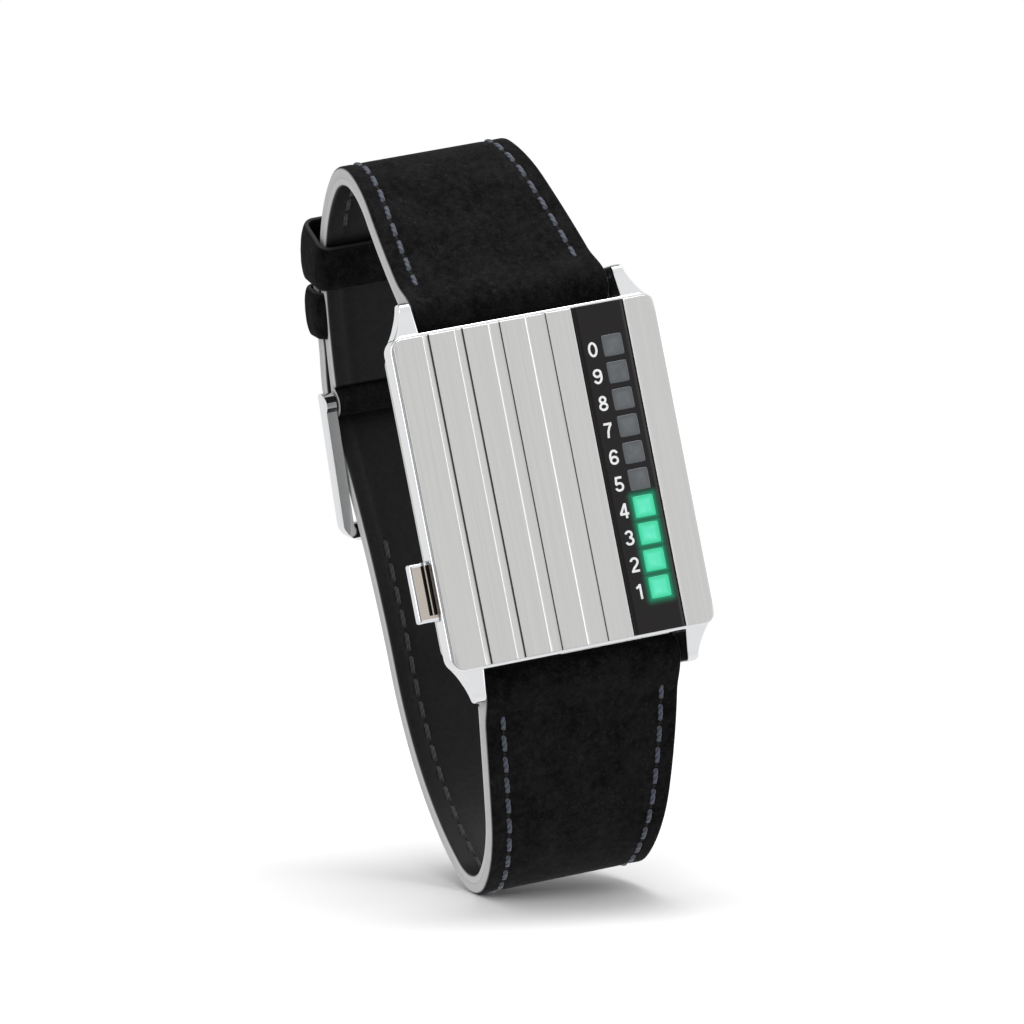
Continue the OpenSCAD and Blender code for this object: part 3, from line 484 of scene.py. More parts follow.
def brushed_steel(name, tone, roughness, streak=(5200, 900, 60)):
    """Steel brushed along Z: noise drawn out along the strokes shades, roughens and lifts the surface. It is
    bright and smooth where the mark lip is 1, and painted dark as groove shade where the mark wall is 1."""
    f = Finish(name)
    fine = f.noise(streak, detail=4)
    broad = f.noise([v * 0.22 for v in streak], detail=2)
    grain = fine * 0.75 + broad * 0.25
    lip, wall = f.mark("lip"), f.mark("wall")
    colour = f.mix(f.ranged(grain, 0.3, 0.7), shaded(tone, 0.9), tone)
    # painted shade: where the mark wall is 1 the groove is darkened to its shade tone
    colour = f.mix(wall, f.mix(lip, colour, LIP_TONE), GROOVE_SHADE_TONE)
    gloss = f.ranged(grain, 0.3, 0.7, roughness + 0.07, roughness - 0.05) - lip * (roughness - 0.26)
    return f.skin(Base_Color=colour, Metallic=1.0, Roughness=gloss,
                  Normal=f.bump(grain * (1 - lip), 0.3, 0.00002))


def polished_steel(name, tone, roughness=0.07):
    """Polished steel with faint wipe marks in its gloss."""
    f = Finish(name)
    cloud = f.noise(300, detail=4)
    hair = f.noise(HAIR_SCALE, turn=HAIR_TURN)
    return f.skin(Base_Color=f.mix(cloud, shaded(tone, 0.95), tone), Metallic=1.0,
                  Roughness=f.ranged(cloud * 0.7 + hair * 0.3, 0.3, 0.7, roughness, roughness + 0.06),
                  Normal=f.bump(hair, 0.04, 0.00001))


def with_edge(f, cloth, lift, edge_tone, low):
    """A leather's colour and relief with the paint of its cut edge over them where the mark edge is 1."""
    edge, paint = f.mark("edge"), f.noise(900, detail=3)
    colour = f.mix(edge, cloth, f.mix(paint, shaded(edge_tone, low), edge_tone))
    return edge, colour, lift * (1 - edge) + paint * edge * 0.08


def suede(name, tone, edge_tone):
    """Napped leather: short fibres as fine noise over broad brushed patches, with lighter flecks where the
    nap is parted, and the cut edge painted where the mark named edge is 1."""
    f = Finish(name)
    nap = f.noise(3600, detail=5, roughness=0.75)
    tuft = f.noise((1150, 1150, 900), detail=4, roughness=0.7)
    patch = f.noise((230, 230, 170), detail=6, roughness=0.7)
    shade = f.ranged(nap * 0.3 + tuft * 0.35 + patch * 0.35, 0.42, 0.6)
    speck = f.ranged(f.noise(1900, detail=3, roughness=0.7), 0.58, 0.7)
    cloth = f.mix(shade, shaded(tone, 0.3), shaded(tone, 2.1))
    cloth = f.mix(speck * (shade * 0.45 + 0.05), cloth, shaded(tone, 6))
    edge, colour, height = with_edge(f, cloth, nap * 0.4 + tuft * 0.3 + patch * 0.3, edge_tone, 0.8)
    return f.skin(Base_Color=colour, Roughness=f.ranged(edge, 0, 1, 0.95, 0.42),
                  Sheen_Weight=0.02, Sheen_Roughness=0.5, Sheen_Tint=(0.8, 0.82, 0.9),
                  Specular_IOR_Level=0.05, Normal=f.bump(height, 0.6, 0.00014))


def smooth_leather(name, tone, edge_tone):
    """Lining leather: small creased cells with pores, and the painted edge where edge is 1."""
    f = Finish(name)
    cell = f.node("ShaderNodeTexVoronoi", {"Vector": f.where(), "Scale": 1500.0}, out="Distance")
    crease = cell * 0.6 + f.noise(420, detail=4) * 0.4
    hide = f.mix(f.ranged(crease, 0.15, 0.65), shaded(tone, 0.7), shaded(tone, 1.25))
    edge, colour, height = with_edge(f, hide, crease, edge_tone, 0.86)
    return f.skin(Base_Color=colour, Roughness=f.ranged(edge, 0, 1, 0.5, 0.4), Specular_IOR_Level=0.2,
                  Normal=f.bump(height, 0.3, 0.00008))


def thread(name, tone):
    """Waxed twisted thread: the mark ply is 1 along the crests of its strands and 0 between them; its colour
    is a painted highlight on the crests and painted shade between them.
    """
    f = Finish(name)
    fuzz = f.noise(5200, detail=3)
    strand = f.mark("ply") * 0.75 + f.ranged(fuzz, 0.3, 0.7) * 0.25
    # painted highlight and shade: 1.7 times the tone on the strands' crests, 0.15 times between them
    return f.skin(Base_Color=f.mix(strand, shaded(tone, 0.15), shaded(tone, 1.7)),
                  Roughness=0.6, Sheen_Weight=0.1, Normal=f.bump(strand, 0.5, 0.00006))


def plain_moulding(name, tone, roughness, metallic=0.0, grain=900, lift=0.15):
    """Moulded, turned or coated surface with a fine grain in its colour, gloss and relief."""
    f = Finish(name)
    fine = f.noise(grain, detail=4)
    return f.skin(Base_Color=f.mix(f.ranged(fine, 0.25, 0.75), shaded(tone, 0.82), tone),
                  Metallic=metallic, Roughness=f.ranged(fine, 0.25, 0.75, roughness + 0.06, roughness),
                  Normal=f.bump(fine, lift, 0.00003))


GLOW = (0.0, 0.72, 0.36)


def near_cells(f, reach):
    """1 over the lit cells and falling to 0 at a distance reach outside the nearest of them."""
    where = f.where()
    x = abs(f.axis(where, "X") - CELL_X * MM)
    z = f.axis(where, "Z")
    row = ((FIRST_Z * MM - z) / (CELL_PITCH * MM)).round().high(CELLS - LIT).low(CELLS - 1)
    away = abs(z - (FIRST_Z * MM - row * (CELL_PITCH * MM)))
    half = CELL_W / 2 * MM
    dx, dz = (x - half).high(0.0), (away - half).high(0.0)
    distance = (dx * dx + dz * dz) ** 0.5
    return f.ranged(distance, 0.0, reach * MM, 1.0, 0.0) ** 2.4


def dark_glass(name):
    """Opaque black glass with the glow of the lit cells in it."""
    f = Finish(name)
    dust = f.noise(1200, detail=3)
    halo = near_cells(f, 1.1)
    return f.skin(Base_Color=f.mix(dust, (0.0115, 0.0102, 0.0108), (0.0140, 0.0125, 0.0132)),
                  Roughness=f.ranged(dust, 0.3, 0.7, 0.04, 0.09), Specular_IOR_Level=0.17,
                  Emission_Color=f.mix(halo, (0, 0, 0), GLOW), Emission_Strength=0.36)


def cell_face(name, dim, bright, strength):
    """A light cell seen through the glass: lighter in the middle than at its edge, with the chip's faint
    square.
    The mark rise runs from 0 at the edge to 1 in the middle, and chip is 1 over the chip."""
    f = Finish(name)
    middle = f.mark("rise")
    chip = f.mark("chip")
    grain = f.noise(700, detail=3)
    tone = f.mix(f.ranged(middle, 0.1, 0.9), dim, bright)
    tone = f.mix(chip * (0.15 if strength else 0.1), tone, [min(1.0, v * 1.6 + 0.02) for v in bright])
    tone = f.mix(f.ranged(grain, 0.35, 0.65) * (0.25 if strength else 0.8), tone, dim)
    values = dict(Base_Color=tone, Roughness=0.35, Coat_Weight=0.4, Coat_Roughness=0.05)
    if strength:
        values.update(Base_Color=(0.01, 0.03, 0.02), Emission_Color=tone, Emission_Strength=strength)
    return f.skin(**values)


def cap_steel(name, tone, panel_tone):
    """Polished steel with a brushed warm panel on the pusher's front, and painted shade, near black, in its
    grooves.
    """
    f = Finish(name)
    where = f.where()
    x, y, z = (f.axis(where, a) for a in "XYZ")

    def inside(v, low, high):
        """1 between two places in millimetres, fading over 0.02 mm outside them."""
        return (f.ranged(v, (low - 0.02) * MM, low * MM)
                * f.ranged(v, high * MM, (high + 0.02) * MM, 1, 0))

    half = CAP_L / 2 - PANEL_END + 0.05
    over = inside(x, PANEL_X, -16.0) * inside(z, CAP_Z - half, CAP_Z + half)
    panel = over * inside(y, CAP_FACE + 0.03, CAP_FACE + 0.19)
    # painted shade: inside the panel's grooves the steel is darkened almost to black
    groove = over * inside(y, CAP_FACE + 0.25, CAP_FACE + 0.65)
    stroke = f.noise((5200, 5200, 120), detail=4)
    colour = f.mix(panel, tone, f.mix(stroke, shaded(panel_tone, 0.8), panel_tone))
    # the grooves' painted shade goes into the colour here
    return f.skin(Base_Color=f.mix(groove, colour, (0.02, 0.018, 0.016)), Metallic=1.0,
                  Roughness=f.ranged(panel + groove, 0, 1, 0.08, 0.42),
                  Normal=f.bump(stroke * panel, 0.3, 0.00002))


def case_steel(name, tone):
    """Polished steel, rougher on the inner sides of the lugs, where painted shade darkens it almost to black.
    """
    f = Finish(name)
    where = f.where()
    hair = f.noise(HAIR_SCALE, turn=HAIR_TURN)
    # inner sides of the lugs, in the narrow gap beside the strap: painted shade, and a rougher gloss
    inner = (f.ranged(abs(f.axis(where, "X")), 13.2 * MM, 13.28 * MM, 1, 0)
             * f.ranged(abs(f.axis(where, "Z")), 20.7 * MM, 20.9 * MM))
    colour = f.mix(hair, shaded(tone, 0.95), tone)
    return f.skin(Base_Color=f.mix(inner, colour, (0.03, 0.03, 0.03)), Metallic=1.0,
                  Roughness=f.ranged(hair, 0.3, 0.7, 0.06, 0.11) + inner * 0.4,
                  Normal=f.bump(hair, 0.04, 0.00001))


STEEL_TONE = (0.80, 0.81, 0.825)
case_polish = case_steel("steel case", STEEL_TONE)
pusher_steel = cap_steel("steel pusher", STEEL_TONE, (0.62, 0.56, 0.50))
polished = polished_steel("steel polished", STEEL_TONE)
bright_small = polished_steel("steel small", (0.74, 0.75, 0.77), 0.14)
brushed = brushed_steel("steel brushed", (0.655, 0.652, 0.646), 0.34)
back_steel = brushed_steel("steel back", (0.62, 0.62, 0.61), 0.3, (900, 5200, 5200))
EDGE_TONE = (0.46, 0.455, 0.46)
SUEDE_TONE = (0.0052, 0.0048, 0.0051)
suede_black = suede("suede black", SUEDE_TONE, EDGE_TONE)
suede_keeper = suede("suede keeper", SUEDE_TONE, (0.03, 0.029, 0.029))
lining_black = smooth_leather("lining black", (0.0075, 0.0068, 0.0072), EDGE_TONE)
thread_blue = thread("thread blue grey", (0.030, 0.037, 0.058))
thread_inside = thread("thread inside", (0.014, 0.015, 0.020))
# painted shade: the near black that stands in for the needle holes
needle_hole_shade = plain_moulding("needle hole shade", (0.0015, 0.0014, 0.0014), 0.95, grain=3000)
glass = dark_glass("glass black")
lit_cell = cell_face("cell lit", (0.0, 0.58, 0.29), (0.085, 0.77, 0.49), 1.0)
dark_cell = cell_face("cell dark", (0.060, 0.067, 0.074), (0.098, 0.106, 0.114), 0.0)
satin_black = plain_moulding("moulding black", (0.018, 0.018, 0.019), 0.5)
diffuser_grey = plain_moulding("diffuser grey", (0.22, 0.235, 0.25), 0.4)
chip_white = plain_moulding("chip white", (0.55, 0.78, 0.62), 0.35)
board_green = plain_moulding("board green", (0.02, 0.12, 0.05), 0.35, grain=300)
holder_grey = plain_moulding("holder grey", (0.05, 0.053, 0.058), 0.55)
brass = plain_moulding("brass", (0.72, 0.54, 0.26), 0.25, metallic=1.0, grain=1500)
rubber = plain_moulding("rubber", (0.02, 0.02, 0.02), 0.75)
ink = plain_moulding("numeral white", (0.80, 0.81, 0.82), 0.5, grain=2500, lift=0.05)

CAD_FINISH = {
    polished: ["quartz_can", "back_screws", "bar_tube_top", "bar_tube_bottom",
               "bar_tube_buckle", "buckle_frame", "buckle_tongue"],
    bright_small: ["pusher_spring", "pusher_clip", "pin_top_left", "pin_top_right", "pin_bottom_left",
                   "pin_bottom_right", "pin_buckle_left", "pin_buckle_right", "battery_clip"],
    back_steel: ["case_back", "battery"],
    satin_black: ["led_mask", "driver_chip"],
    diffuser_grey: ["led_diffusers"],
    chip_white: ["led_chips"],
    board_green: ["circuit_board"],
    holder_grey: ["push_switch", "module_holder"],
    brass: ["battery_contact", "pusher_tube"],
    rubber: ["back_gasket", "pusher_ring"],
}
for finish, names in CAD_FINISH.items():
    for name in names:
        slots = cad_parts[name].data.materials
        slots.clear()
        slots.append(finish)


# Case, plates and glass

CASE_W, CASE_L, CASE_R, RIM_W, PLATE_R = 34.8, 41.3, 2.0, 0.4, 1.2
RIM_Y, SIDE_Y, TUCK, BODY_Y = FRONT_Y + 0.45, FRONT_Y + 3.0, 1.8, -1.8
PLATE_Y = FRONT_Y + 1.0
ROOM_Y, ROOM_W, ROOM_L, ROOM_R = PLATE_Y + 0.8, 28.0, 34.4, 3.0
RIM_R, FOOT_R = 0.34, 0.12
LUG_IN, LUG_TIP, LUG_R, LUG_HOLLOW_R, LUG_TURN, LUG_CORNER_Z = 13.15, CASE_L / 2 + 4.0, 2.6, 9.4, 41.0, 18.3
LUG_TOP_Z, LUG_TOP_Y, LUG_NOSE_Y, LUG_BACK_Y = 20.5, FRONT_Y + 0.9, FRONT_Y + 1.95, FRONT_Y + 7.3
NOSE_R, HEEL_R, END_R = 1.1, 1.6, 0.45
PIN_HOLE_R, PIN_HOLE_DEEP, BAR_BORE_R, MASK_WALL = 0.45, 1.1, 0.8, 0.6
POCKET_DEEP, POCKET_PLAY, BORE_R, BORE_END = 1.2, 0.1, 1.05, -13.0
RELIEF_R, RELIEF_START, RELIEF_END = 1.2, -14.05, -11.2
STEM_R, STEM_END = 0.55, -12.2
PLANE_Z, PLANE_Y, PLANE_LEAN = 22.0, FRONT_Y + 3.8, 0.37     # the sloping plane under a lug


def arc(centre, radius, start, end, count):
    """Points on part of a circle, angles in degrees."""
    a = np.radians(np.linspace(start, end, count))
    return np.column_stack([centre[0] + radius * np.cos(a), centre[1] + radius * np.sin(a)])


def ring_loft(rows, per_corner=20):
    """Rounded rectangles joined from row to row. A row is (half width, half length, corner radius, y); a
    corner point is the corner's centre plus the radius times (cos a, sin a). A first or last row of no size
    closes the surface."""
    half_w, half_l, radius, y = (np.array(rows, float)[:, i, None] for i in range(4))
    a = np.radians(np.linspace(0, 90, per_corner))
    turn = np.concatenate([a, a + math.pi / 2, a + math.pi, a + 1.5 * math.pi])[None]
    side_x = np.repeat([1, -1, -1, 1], per_corner)[None]
    side_z = np.repeat([1, 1, -1, -1], per_corner)[None]
    radius = np.minimum(radius, np.minimum(half_w, half_l))
    x = side_x * (half_w - radius) + radius * np.cos(turn)
    z = side_z * (half_l - radius) + radius * np.sin(turn)
    return skin_of(np.stack([x, y + 0 * x, z], -1))


def inset_row(inset, y, fall=1.0):
    """Row of the case's outline drawn in by inset, its corner's radius smaller by fall times as much."""
    return CASE_W / 2 - inset, CASE_L / 2 - inset, max(CASE_R - fall * inset, 0.05), y


def case_shell():
    """The case as one closed skin: the seat of the plates, the rim rounded outwards, the straight side, the
    underside that draws in, the groove of the gasket, and the room for the movement."""
    slope = TUCK / (BODY_Y - SIDE_Y)
    rim = arc((RIM_R, RIM_Y + RIM_R), RIM_R, -90, -180, 9)
    waist = [(slope * (t + 0.5) ** 2 / 2, SIDE_Y + t) for t in np.linspace(-0.5, 0.5, 7)]
    foot = [(TUCK - 0.06, BODY_Y - FOOT_R), (TUCK - 0.02, BODY_Y - 0.05), (TUCK + 0.05, BODY_Y - 0.01),
            (TUCK + FOOT_R, BODY_Y)]
    rim = [(RIM_W, PLATE_Y), (RIM_W, RIM_Y + 0.03), (RIM_W - 0.03, RIM_Y)] + rim.tolist()
    rows = [(0, 0, 0, PLATE_Y)] + [inset_row(i, y, (CASE_R - PLATE_R) / RIM_W) for i, y in rim]
    rows += [inset_row(i, y) for i, y in waist + foot]
    for grow, y in ((0.8, BODY_Y), (0.8, BODY_Y - 0.5), (0.25, BODY_Y - 0.5), (0.25, BODY_Y), (0, BODY_Y),
                    (0, ROOM_Y)):
        rows.append((ROOM_W / 2 + grow, ROOM_L / 2 + grow, ROOM_R + grow, y))
    return ring_loft(rows + [(0, 0, 0, ROOM_Y)])


def lug_outside(z):
    """Outer side of a lug: straight, round its shoulder of radius LUG_R up to LUG_TURN, then the hollow."""
    a = math.radians(LUG_TURN)
    corner_x = CASE_W / 2 - LUG_R
    hollow_x = corner_x + (LUG_R + LUG_HOLLOW_R) * math.cos(a)
    hollow_z = LUG_CORNER_Z + (LUG_R + LUG_HOLLOW_R) * math.sin(a)
    turned = corner_x + root(LUG_R ** 2 - np.maximum(z - LUG_CORNER_Z, 0) ** 2)
    hollow = hollow_x - root(LUG_HOLLOW_R ** 2 - (z - hollow_z) ** 2)
    return np.where(z < LUG_CORNER_Z + LUG_R * math.sin(a), turned, hollow)


def planed_bar(z, middle, planes, lost):
    """Bar of sections along Z, each cut by planes with a normal and a distance from the section's middle.
    Along a unit vector u from the middle the surface lies at (sum of (n.u / d) ^ 16) ^ (-1 / 16) over the
    planes, which rounds the edges between them. lost is how much nearer the planes come towards an end."""
    turn = round_circle(132)[None]
    ux, uy = planes[0][1] * np.cos(turn), planes[2][1] * np.sin(turn)
    size = np.hypot(ux, uy)
    ux, uy = ux / size, uy / size
    total = sum((np.maximum(n[0] * ux + n[1] * uy, 0) / np.maximum(gap - lost, 0.02)) ** 16
                for n, gap in planes)
    reach = total ** (-1 / 16)
    reach[[0, -1]] = 0
    z[0], z[-1] = z[1], z[-2]
    return np.stack([middle[0] + reach * ux, middle[1] + reach * uy, z + 0 * ux], -1)


def lug(across, up):
    """One lug, planed on its inner and outer side, front and back, and along the slope that the case's
    underside draws in by, which follows the hollow's outline. Its front slopes down to a quarter circle of
    radius NOSE_R and its back ends on one of radius HEEL_R; the last END_R of it narrows as a circle does."""
    end_z, nose_z = LUG_TIP - END_R, LUG_TIP - NOSE_R
    end = np.sin(np.linspace(0, math.pi / 2, 10))
    z = np.concatenate([np.linspace(CASE_L / 2 - 3, end_z, 60), end_z + END_R * end[1:]])[:, None]
    nose = np.clip(z - nose_z, 0, NOSE_R)
    front = np.where(nose > 0, LUG_NOSE_Y + NOSE_R - root(NOSE_R ** 2 - nose ** 2),
                     np.interp(z, [LUG_TOP_Z, nose_z], [LUG_TOP_Y, LUG_NOSE_Y]))
    heel = np.clip(z - (LUG_TIP - HEEL_R), 0, HEEL_R)
    back = LUG_BACK_Y - HEEL_R + root(HEEL_R ** 2 - heel ** 2)
    outside = lug_outside(z)
    side_end = np.interp(z, [LUG_CORNER_Z, PLANE_Z], [SIDE_Y, PLANE_Y])
    slope = unit([1, PLANE_LEAN])
    middle_x, middle_y = (LUG_IN + outside) / 2, (front + back) / 2
    tuck = slope[0] * (outside - middle_x) + slope[1] * (side_end - middle_y)
    planes = [((-1, 0), middle_x - LUG_IN), ((1, 0), outside - middle_x), ((0, -1), middle_y - front),
              ((0, 1), back - middle_y), (slope, tuck)]
    past = np.clip((z - end_z) / END_R, 0, 1)
    points = planed_bar(z, (middle_x, middle_y), planes, END_R * (1 - root(1 - past ** 2)))
    return skin_of(points * (across, 1, up))


def rounded_away(distance, radius):
    """How far a surface has fallen at a distance from its edge: a quarter circle."""
    left = np.maximum(radius - distance, 0)
    return radius - root(radius ** 2 - left ** 2)


def tile(x0, x1, relief, top, foot, corner, edge):
    """A plate as part of a rounded rectangle: a grid whose rows run to the outline at
    half length - r + sqrt(r^2 - (|x| - half width + r)^2), sunk by relief(x) and rounded away at its edges.
    Gives points, faces and the marks lip and wall."""
    half_w, half_l = FRONT_W / 2, FRONT_L / 2
    near = np.array([0, 0.01, 0.03, 0.06, 0.1, 0.15, 0.3, 0.6])     # distances from an edge with points
    columns = [x0 + near, x1 - near, np.arange(x0, x1, 0.8), relief[:, 0]]
    if corner:
        curve = half_w - corner * (1 - np.cos(np.linspace(0, math.pi / 2, 22)))
        columns += [curve, -curve]
    x = np.unique(np.clip(np.concatenate(columns), x0, x1).round(4))[None]
    inwards = np.maximum(np.abs(x) - (half_w - corner), 0)
    limit = half_l - corner + root(corner ** 2 - inwards ** 2)
    share = np.linspace(-1, 1, 25)[1:-1]
    z = np.concatenate([-(limit - near[:6, None]), share[:, None] * (limit - 0.2),
                        (limit - near[5::-1, None])])
    x = x + 0 * z
    corner_x, corner_z = np.abs(x) - (half_w - corner), np.abs(z) - (half_l - corner)
    away = np.minimum(np.minimum(half_l - np.abs(z), half_w - np.abs(x)), np.minimum(x - x0, x1 - x))
    away = np.where((corner_x > 0) & (corner_z > 0), corner - np.hypot(corner_x, corner_z), away)
    y = top + np.interp(x, relief[:, 0], relief[:, 1]) + rounded_away(np.maximum(away, 0), edge)
    skin = np.stack([x, y, z], -1).reshape(-1, 3)
    base = np.stack([x, foot + 0 * y, z], -1).reshape(-1, 3)
    rows, cols = x.shape
    faces = grid_faces(rows, cols)
    index = np.arange(rows * cols).reshape(rows, cols)
    loop = np.concatenate([index[0], index[1:, -1], index[-1, -2::-1], index[-2:0:-1, 0]])
    after = np.roll(loop, -1)
    sides = np.stack([after, loop, loop + rows * cols, after + rows * cols], -1)
    points = np.concatenate([skin, base])
    faces = np.concatenate([faces, faces[:, ::-1] + rows * cols, sides])
    lip, wall = (np.concatenate([np.interp(x, relief[:, 0], relief[:, i]).ravel(), 0 * x.ravel()])
                 for i in (2, 3))
    return points, facing_out(points, faces), lip, wall


SCREW_X, SCREW_Z, SCREW_R = 14.2, 17.45, 0.45
CORNERS = [(x, z) for x in (-1, 1) for z in (-1, 1)]


def case_piece():
    """The case: its shell cut for the display, screws and pusher, with the four lugs and their holes."""
    side, pusher_at = CASE_W / 2, (CAP_Y, CAP_Z)
    mask_x, mask_z = CELL_W / 2 + MASK_WALL, FIRST_Z + CELL_W / 2 + MASK_WALL
    window = block(CELL_X - mask_x, CELL_X + mask_x, FRONT_Y, ROOM_Y + 1, -mask_z, mask_z)
    screws = [round_bar(1, SCREW_R, BODY_Y - 3, BODY_Y + 1, (x * SCREW_X, z * SCREW_Z)) for x, z in CORNERS]
    deep, high = CAP_D / 2 + POCKET_PLAY, CAP_L / 2 + POCKET_PLAY
    pocket = block(-side - 1, POCKET_DEEP - side, CAP_Y - deep, CAP_Y + deep, CAP_Z - high, CAP_Z + high)
    bore = round_bar(0, BORE_R, 0.2 - side, BORE_END, pusher_at)
    relief = round_bar(0, RELIEF_R, RELIEF_START, RELIEF_END, pusher_at)
    shell = piece("case_shell", make_mesh("case_shell", *case_shell()), case_polish, "watch",
                  ["case_body"])
    cut(welded(shell), [drill([window] + screws), drill([pocket]), drill([bore]), drill([relief])])
    lugs = placed("lugs", make_mesh("lugs", *joined([lug(x, z) for x, z in CORNERS])))
    holes = [round_bar(0, PIN_HOLE_R, *sorted((x * (LUG_IN - 1), x * (LUG_IN + PIN_HOLE_DEEP))),
                       (BAR_Y, z * BAR_Z)) for x, z in CORNERS]
    cut(welded(lugs), [drill(holes)])
    merged(shell, lugs)
    shell.data.set_sharp_from_angle(angle=math.radians(35))
    dressed(shell, case_polish, weighted=True)


case_piece()


def pusher_piece():
    """The pusher: a cap with planed and rounded faces, a sunk panel with two grooves, and its stem."""
    soft, half = 0.3, CAP_L / 2
    end = soft * (1 - np.cos(np.linspace(0, math.pi / 2, 9)))
    z = np.concatenate([-half + end, np.linspace(0.5 - half, half - 0.5, 12), (half - end)[::-1]])[:, None]
    middle = ((CAP_OUT + CAP_FOOT) / 2, CAP_Y)
    slope, bevel = unit([-1, 0.5]), unit([-1, -1])
    width, depth = (CAP_FOOT - CAP_OUT) / 2, CAP_D / 2
    planes = [((-1, 0), width), ((1, 0), width), ((0, -1), depth), ((0, 1), depth),
              (slope, -slope[0] * width - slope[1] * 0.1), (bevel, (width + depth - 0.22) / math.sqrt(2))]
    planes = [(n, gap + 0 * z) for n, gap in planes]
    past = np.clip((np.abs(z) - (half - soft)) / soft, 0, 1)
    cap = planed_bar(z, middle, planes, soft * (1 - root(1 - past ** 2)))
    mesh = make_mesh("pusher_cap", *skin_of(cap + (0, 0, CAP_Z)))
    thing = piece("pusher_cap", mesh, pusher_steel, "pusher", ["pusher"])
    z0, z1 = CAP_Z - half + PANEL_END, CAP_Z + half - PANEL_END
    panel = block(PANEL_X, CAP_FOOT + 1, CAP_FACE - 1, CAP_FACE + PANEL_SINK, z0, z1)
    grooves = [block(PANEL_X + a, PANEL_X + a + b, CAP_FACE - 1, CAP_FACE + 0.5, z0 + 0.35, z1 + 1)
               for a, b in ((1.1, 0.45), (1.7, 0.5))]
    cut(welded(thing), [drill([panel]), drill(grooves)])
    stem = round_bar(0, STEM_R, CAP_FOOT - 0.3, STEM_END, (CAP_Y, CAP_Z))
    merged(thing, placed("stem", drill([stem])))
    thing.data.set_sharp_from_angle(angle=math.radians(35))
    dressed(thing, pusher_steel, weighted=True)


pusher_piece()


def groove_relief(start, width, deep):
    """Depth across one groove: over the rounded lip of the band before it, down to a floor that sinks from
    0.8 to 0.95 of its depth, into a narrow strip at the full depth, up a steep wall and over the edge of the
    next band. The last two columns are the marks lip and wall; where wall is 1, on that strip and the wall,
    the steel is painted dark as shade."""
    a = np.radians([0, 22, 45, 67, 90])
    lip, edge, end = 0.2, 0.06, start + width
    gap = end - (0.16 if width < 1.2 else 0.08)
    down = np.column_stack([start - lip + lip * np.sin(a), deep * 0.7 * (1 - np.cos(a)),
                            [0.2, 0.8, 1, 1, 1], 0 * a])
    # the last column, wall, marks where the groove is painted dark as shade
    floor_run = [[start + 0.05, deep * 0.8, 0, 0], [gap, deep * 0.95, 0, 0], [gap + 0.01, deep, 0, 1],
                 [end, deep, 0, 1]]
    up = np.column_stack([end + 0.01 + edge * (1 - np.cos(a)), edge * (1 - np.sin(a)),
                          0 * a, [0.8, 0.4, 0, 0, 0]])
    return np.concatenate([[[start - lip - 0.03, 0, 0, 0]], down, floor_run, up])


LEFT_END, GLASS_START, GLASS_END, RIGHT_START = 6.2, 6.3, 12.95, 13.05
GLASS_BEVEL, BEVEL_DEPTH = 0.45, 0.225
GROOVES = [(-13.0, 0.7, 0.3), (-8.9, 1.0, 0.28), (-4.5, 1.4, 0.26), (0.3, 2.6, 0.22)]
flat_relief = np.array([[-FRONT_W, 0.0, 0, 0], [FRONT_W, 0.0, 0, 0]])
left_relief = np.concatenate([flat_relief[:1], *[groove_relief(*g) for g in GROOVES], flat_relief[1:]])
glass_relief = np.array([[GLASS_START, BEVEL_DEPTH, 0, 0], [GLASS_START + GLASS_BEVEL, 0, 0, 0],
                         [GLASS_END - GLASS_BEVEL, 0, 0, 0], [GLASS_END, BEVEL_DEPTH, 0, 0]])


def tile_piece(name, shape, material, node):
    """A plate or the glass as a piece, with its marks lip and wall."""
    points, faces, lip, wall = shape
    thing = piece(name, make_mesh(name, points, faces, lip=lip, wall=wall), material, "watch", [node])
    dressed(welded(thing, 32), material, weighted=True)


right_relief = np.array([[RIGHT_START, 0, 1, 0], [RIGHT_START + 0.16, 0, 0.7, 0],
                         [RIGHT_START + 0.26, 0, 0, 0], [FRONT_W, 0, 0, 0]])
for side, start, end, relief in (("left", -FRONT_W / 2, LEFT_END, left_relief),
                                 ("right", RIGHT_START, FRONT_W / 2, right_relief)):
    tile_piece("plate_" + side, tile(start, end, relief, FRONT_Y, PLATE_Y, PLATE_R, 0.12), brushed,
               "face_plate_" + side)
tile_piece("window_pane", tile(GLASS_START, GLASS_END, glass_relief, GLASS_Y, PLATE_Y, 0, 0.08), glass,
           "window_glass")


# Strap

STITCH_IN, STITCH_PITCH, STITCH_L, THREAD_R = 2.3, 2.95, 2.45, 0.3
GROOVE, GROOVE_W = 0.14, 0.5
SUEDE_ROUND, LINING_ROUND, SEAM_ROUND, LINING_NOSE = 0.5, 0.4, 0.06, 0.5
SHORT_ROW, LONG_ROW, TAIL_ROW, INSIDE_START = (2.9, 41.0), (2.9, 86.0), (102.0, long.length - 5.0), 4.6


def dip(x, half):
    """How deep the leather is drawn in at x: a bell-shaped groove along each row of stitches."""
    return GROOVE * np.exp(-((np.abs(x) - (half - STITCH_IN)) / GROOVE_W) ** 2)


